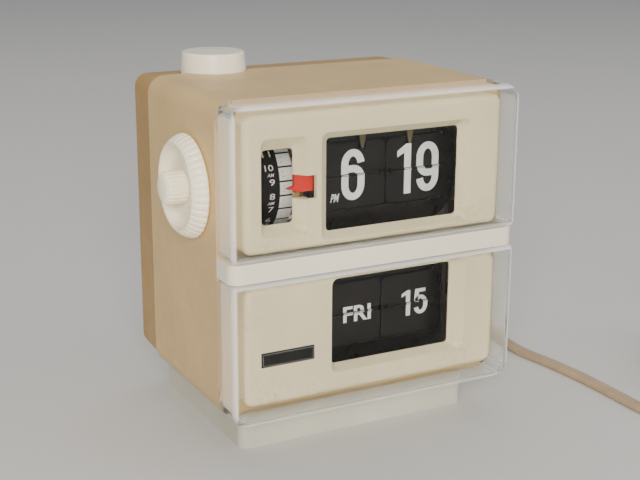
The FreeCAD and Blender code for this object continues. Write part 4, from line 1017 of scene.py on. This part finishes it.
class CLOCK_OT_dial(Operator):
    """Makes the alarm drum with its hours and the red pointer"""
    bl_idname = "clock.dial"
    bl_label = "Alarm dial"

    def execute(self, context):
        values = context.scene.clock_dial
        display = context.scene.clock_display
        lo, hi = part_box("alarm_dial_drum")
        centre = (lo + hi) / 2
        radius = (hi.z - lo.z) / 2
        axis = Vector((0, centre.y, centre.z))
        black = finish_of("dial_black", leaf_plastic, display.leaf[:], 0.4)
        white = finish_of("dial_white", print_ink, values.cell[:])
        ink = finish_of("white_ink", print_ink, display.digit[:])
        red = finish_of("pointer_red", moulded_plastic, values.pointer[:], roughness=0.3, variation=0.05, coat=0.3)
        rim, x0, x1 = radius - 0.0015, lo.x, hi.x
        web = (x0 + x1) / 2
        profile = [(x0, radius - 0.0003), (x0 + 0.0003, radius), (x1 - 0.0003, radius), (x1, radius - 0.0003),
                   (x1, rim), (web + 0.0008, rim),
                   (web + 0.0008, 0.0055), (web + 0.003, 0.0055), (web + 0.003, 0.00305), (web - 0.003, 0.00305), (web - 0.003, 0.0055),
                   (web - 0.0008, 0.0055), (web - 0.0008, rim), (x0, rim)]
        piece_from(spun(profile, "X", axis, 192), "alarm_drum", "alarm_dial", "black_plastic", black,
                   replaced=("alarm_dial_drum",), angle=40)

        cells = bmesh.new()
        dots = bmesh.new()
        film = radius + 0.00004
        line = math.radians(0.9)
        for hour in range(24):
            top = values.first + hour * values.step
            piece = bmesh.new()
            ends = [piece.verts.new((x, axis.y - film, axis.z)) for x in (values.cell_start, values.cell_end)]
            edge = piece.edges.new(ends)
            bmesh.ops.rotate(piece, cent=axis, matrix=Matrix.Rotation(-(top - line), 3, "X"), verts=piece.verts)
            bmesh.ops.spin(piece, geom=ends + [edge], cent=axis, axis=(1, 0, 0), dvec=(0, 0, 0),
                           angle=values.step - 2 * line, steps=10, use_merge=False, use_duplicate=False)
            absorb(cells, piece)
            for part in (1 / 3, 2 / 3):
                dot = bmesh.new()
                bmesh.ops.create_circle(dot, cap_ends=True, segments=10, radius=0.00022)
                bmesh.ops.rotate(dot, cent=(0, 0, 0), matrix=Matrix.Rotation(math.pi / 2, 3, "X"), verts=dot.verts)
                bmesh.ops.translate(dot, vec=(values.cell_start + 0.0017, axis.y - film - 0.00004, axis.z), verts=dot.verts)
                bmesh.ops.rotate(dot, cent=axis, matrix=Matrix.Rotation(-(top - values.step * part), 3, "X"), verts=dot.verts)
                absorb(dots, dot, 1)
        for bm in (cells, dots):
            for face in bm.faces:
                face.normal_update()
                outward = face.calc_center_median() - axis
                outward.x = 0
                if face.normal.dot(outward) < 0:
                    face.normal_flip()
        absorb(cells, dots, 1)
        piece_from(cells, "alarm_cells", "alarm_dial", "white_plastic", white, black, outward=False)

        numerals = bmesh.new()
        for number in range(24):
            hour = (9 + number) % 24
            words = str((hour - 1) % 12 + 1)
            angle = values.first + number * values.step
            half = "AM" if hour < 12 else "PM"
            for text, height, width, drop, lean in ((words, values.numeral_height, 0.0023 if len(words) == 1 else 0.0037, 0.0, 0.0),
                                                    (half if hour % 2 == 0 else "", 0.00135, 0.0031, values.step / 2, 0.3)):
                if not text:
                    continue
                bm = placed_text(text, height, width, Vector((values.numeral_end, 0, axis.z - height / 2)), lean, 0.01, anchor="RIGHT")
                for face in bm.faces:
                    if face.normal.y > 0:
                        face.normal_flip()
                wrap(bm, axis.y, axis.z, film)
                bmesh.ops.rotate(bm, cent=axis, matrix=Matrix.Rotation(-(angle - drop), 3, "X"), verts=bm.verts)
                absorb(numerals, bm)
        piece_from(numerals, "alarm_numerals", "alarm_dial", "white_plastic", ink, outward=False)
        smoothed("alarm_pointer", "red_alarm_pointer", red)
        return {"FINISHED"}


# ---------------------------------------------------------------- knobs
class CLOCK_OT_knobs(Operator):
    """Makes the fluted alarm ring, the time knob and the two calendar knobs"""
    bl_idname = "clock.knobs"
    bl_label = "Knobs"

    def execute(self, context):
        values = context.scene.clock_knobs
        ivory = finish_of("ivory_plastic", moulded_plastic, values.ivory[:], roughness=0.36, variation=0.04, coat=0.1)

        lo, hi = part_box("alarm_ring_knob")
        centre = Vector((0, (lo.y + hi.y) / 2, (lo.z + hi.z) / 2))
        out, back, face = (hi.z - lo.z) / 2, hi.x, lo.x
        profile = [(back, 0.0016), (back, out - 0.0012), (back - 0.0002, out - 0.0006), (back - 0.0006, out - 0.0001), (back - 0.0012, out),
                   (back - 0.0022, out - 0.0003), (back - 0.0034, out - 0.0008), (back - 0.0045, out - 0.0014),
                   (face + 0.0012, out - 0.0021),
                   (face + 0.0006, out - 0.0026), (face + 0.0002, out - 0.0031), (face, out - 0.0037), (face + 0.0002, out - 0.0043),
                   (face + 0.0008, out - 0.0047), (back - 0.0034, out - 0.0053), (back - 0.0026, out - 0.0060),
                   (back - 0.0022, out - 0.0076),
                   (back - 0.0022, 0.0086), (back - 0.0024, 0.0080), (back - 0.0024, 0.0016)]
        bm = spun(profile, "X", centre, values.ring_flutes * 6)
        flute(bm, "X", centre, values.ring_flutes, values.ring_depth, out, out - 0.0034, (face + 0.0001, back - 0.0004))
        piece_from(bm, "fluted_alarm_ring", "alarm_dial", "white_plastic", ivory, replaced=("alarm_ring_knob",), angle=50)

        lo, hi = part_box("time_set_knob")
        out, back, face = (hi.z - lo.z) / 2, hi.x, lo.x
        profile = [(back, 0.0), (back, out - 0.0006), (back - 0.0004, out - 0.0001), (back - 0.001, out),
                   (back - 0.003, out), (back - 0.005, out),
                   (face + 0.0030, out), (face + 0.0020, out - 0.0003), (face + 0.0012, out - 0.0009), (face + 0.0007, out - 0.0018),
                   (face + 0.0004, out - 0.0028), (face + 0.0002, out - 0.0040), (face, out - 0.0052), (face, 0.0)]
        bm = spun(profile, "X", centre, values.time_flutes * 8, closed=False)
        flute(bm, "X", centre, values.time_flutes, values.time_depth, out, 0.0022, (face - 1, back - 0.0006))
        piece_from(bm, "fluted_time_knob", "time_setter", "white_plastic", ivory, replaced=("time_set_knob",), angle=50)

        for node, name, body, count, depth in (("date_set_knob", "fluted_date_knob", "date_drum", values.date_flutes, 0.0003),
                                               ("day_set_knob", "fluted_day_knob", "day_drum", values.day_flutes, 0.0003)):
            lo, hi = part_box(node)
            centre_here = Vector((0, (lo.y + hi.y) / 2, (lo.z + hi.z) / 2))
            out = (hi.z - lo.z) / 2
            root = lo.x if node == "date_set_knob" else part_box("date_set_knob")[1].x + 0.0003
            profile = [(root, 0.0), (root, out - 0.0003), (root + 0.0003, out), (hi.x - 0.0006, out),
                       (hi.x - 0.0002, out - 0.0002), (hi.x, out - 0.0007), (hi.x, 0.0)]
            bm = spun(profile, "X", centre_here, count * 6, closed=False)
            flute(bm, "X", centre_here, count, depth, out, out * 0.8, (root + 0.0001, hi.x - 0.0001))
            if node == "day_set_knob":
                stub = [(lo.x, 0.0), (lo.x, 0.0011), (root + 0.0002, 0.0011), (root + 0.0002, 0.0)]
                absorb(bm, spun(stub, "X", centre_here, 24, closed=False))
            piece_from(bm, name, body, "white_plastic", ivory, replaced=(node,), angle=50)
        return {"FINISHED"}


class CLOCK_OT_button(Operator):
    """Finishes the top button and its spring"""
    bl_idname = "clock.button"
    bl_label = "Top button"

    def execute(self, context):
        values = context.scene.clock_knobs
        gloss = finish_of("button_plastic", moulded_plastic, values.button[:], roughness=0.3, variation=0.03, coat=0.25)
        smoothed("top_button", "smooth_top_button", gloss)
        wire = finish_of("spring_steel", sheet_steel, (0.55, 0.55, 0.54), 0.26, (1, 1, 1))
        spring = smoothed("button_spring", "wound_button_spring", wire)
        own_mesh(spring)
        return {"FINISHED"}


# ---------------------------------------------------------------- inside
class CLOCK_OT_movement(Operator):
    """Finishes the drums, gears, motor, lamp and buzzer inside"""
    bl_idname = "clock.movement"
    bl_label = "Movement"

    def execute(self, context):
        steel = finish_of("plate_steel", sheet_steel)
        bright = finish_of("shaft_steel", sheet_steel, (0.58, 0.58, 0.57), 0.22, (30, 1, 1))
        brass = finish_of("gear_brass", cut_brass)
        nylon = finish_of("nylon", moulded_plastic, srgb(212, 208, 192), roughness=0.36, variation=0.04)
        black = finish_of("inner_black", leaf_plastic, srgb(30, 29, 28), 0.42)
        for nodes, material in (
            (("left_frame_plate", "right_frame_plate", "motor_housing", "buzzer_reed"), steel),
            (("frame_rods", "minute_axle", "time_set_shaft", "alarm_hollow_shaft", "date_set_shaft"), bright),
            (("minute_wheel", "setting_wheel", "setting_pinion", "motor_pinion"), brass),
            (("alarm_shaft_bush", "calendar_shaft_bush", "alarm_cam"), nylon),
            (("hour_spool", "minute_spool", "day_spool", "date_spool", "terminal_block", "lamp_holder"), black),
            (("neon_lamp",), finish_of("lamp_glass", lamp_glass)),
            (("buzzer_coil",), finish_of("coil_tape", taped_winding)),
        ):
            for node in nodes:
                coat_node(node, material)
        return {"FINISHED"}


# ---------------------------------------------------------------- panel
STEPS = (CLOCK_OT_stage, CLOCK_OT_cord, CLOCK_OT_case, CLOCK_OT_bezels, CLOCK_OT_lenses, CLOCK_OT_leaves,
         CLOCK_OT_dial, CLOCK_OT_knobs, CLOCK_OT_button, CLOCK_OT_movement)
GROUPS = {"clock_case": CLOCK_PG_case, "clock_display": CLOCK_PG_display, "clock_dial": CLOCK_PG_dial,
          "clock_knobs": CLOCK_PG_knobs, "clock_cord": CLOCK_PG_cord, "clock_stage": CLOCK_PG_stage}


class CLOCK_PT_panel(Panel):
    """Lists the clock's settings and the steps that build it"""
    bl_idname = "CLOCK_PT_panel"
    bl_label = "Flip Clock"
    bl_space_type = "VIEW_3D"
    bl_region_type = "UI"
    bl_category = "Flip Clock"

    def draw(self, context):
        for name, group in GROUPS.items():
            box = self.layout.box()
            for key in group.__annotations__:
                box.prop(getattr(context.scene, name), key)
        for step in STEPS:
            self.layout.operator(step.bl_idname)


CLASSES = (*GROUPS.values(), *STEPS, CLOCK_PT_panel)


def register():
    for item in CLASSES:
        bpy.utils.register_class(item)
    for name, group in GROUPS.items():
        setattr(bpy.types.Scene, name, PointerProperty(type=group))


def unregister():
    for name in GROUPS:
        delattr(bpy.types.Scene, name)
    for item in reversed(CLASSES):
        bpy.utils.unregister_class(item)


def main():
    register()
    for step in STEPS:
        group, name = step.bl_idname.split(".")
        if getattr(getattr(bpy.ops, group), name)() != {"FINISHED"}:
            raise RuntimeError(step.bl_label + " did not finish")


if __name__ == "__main__":
    main()
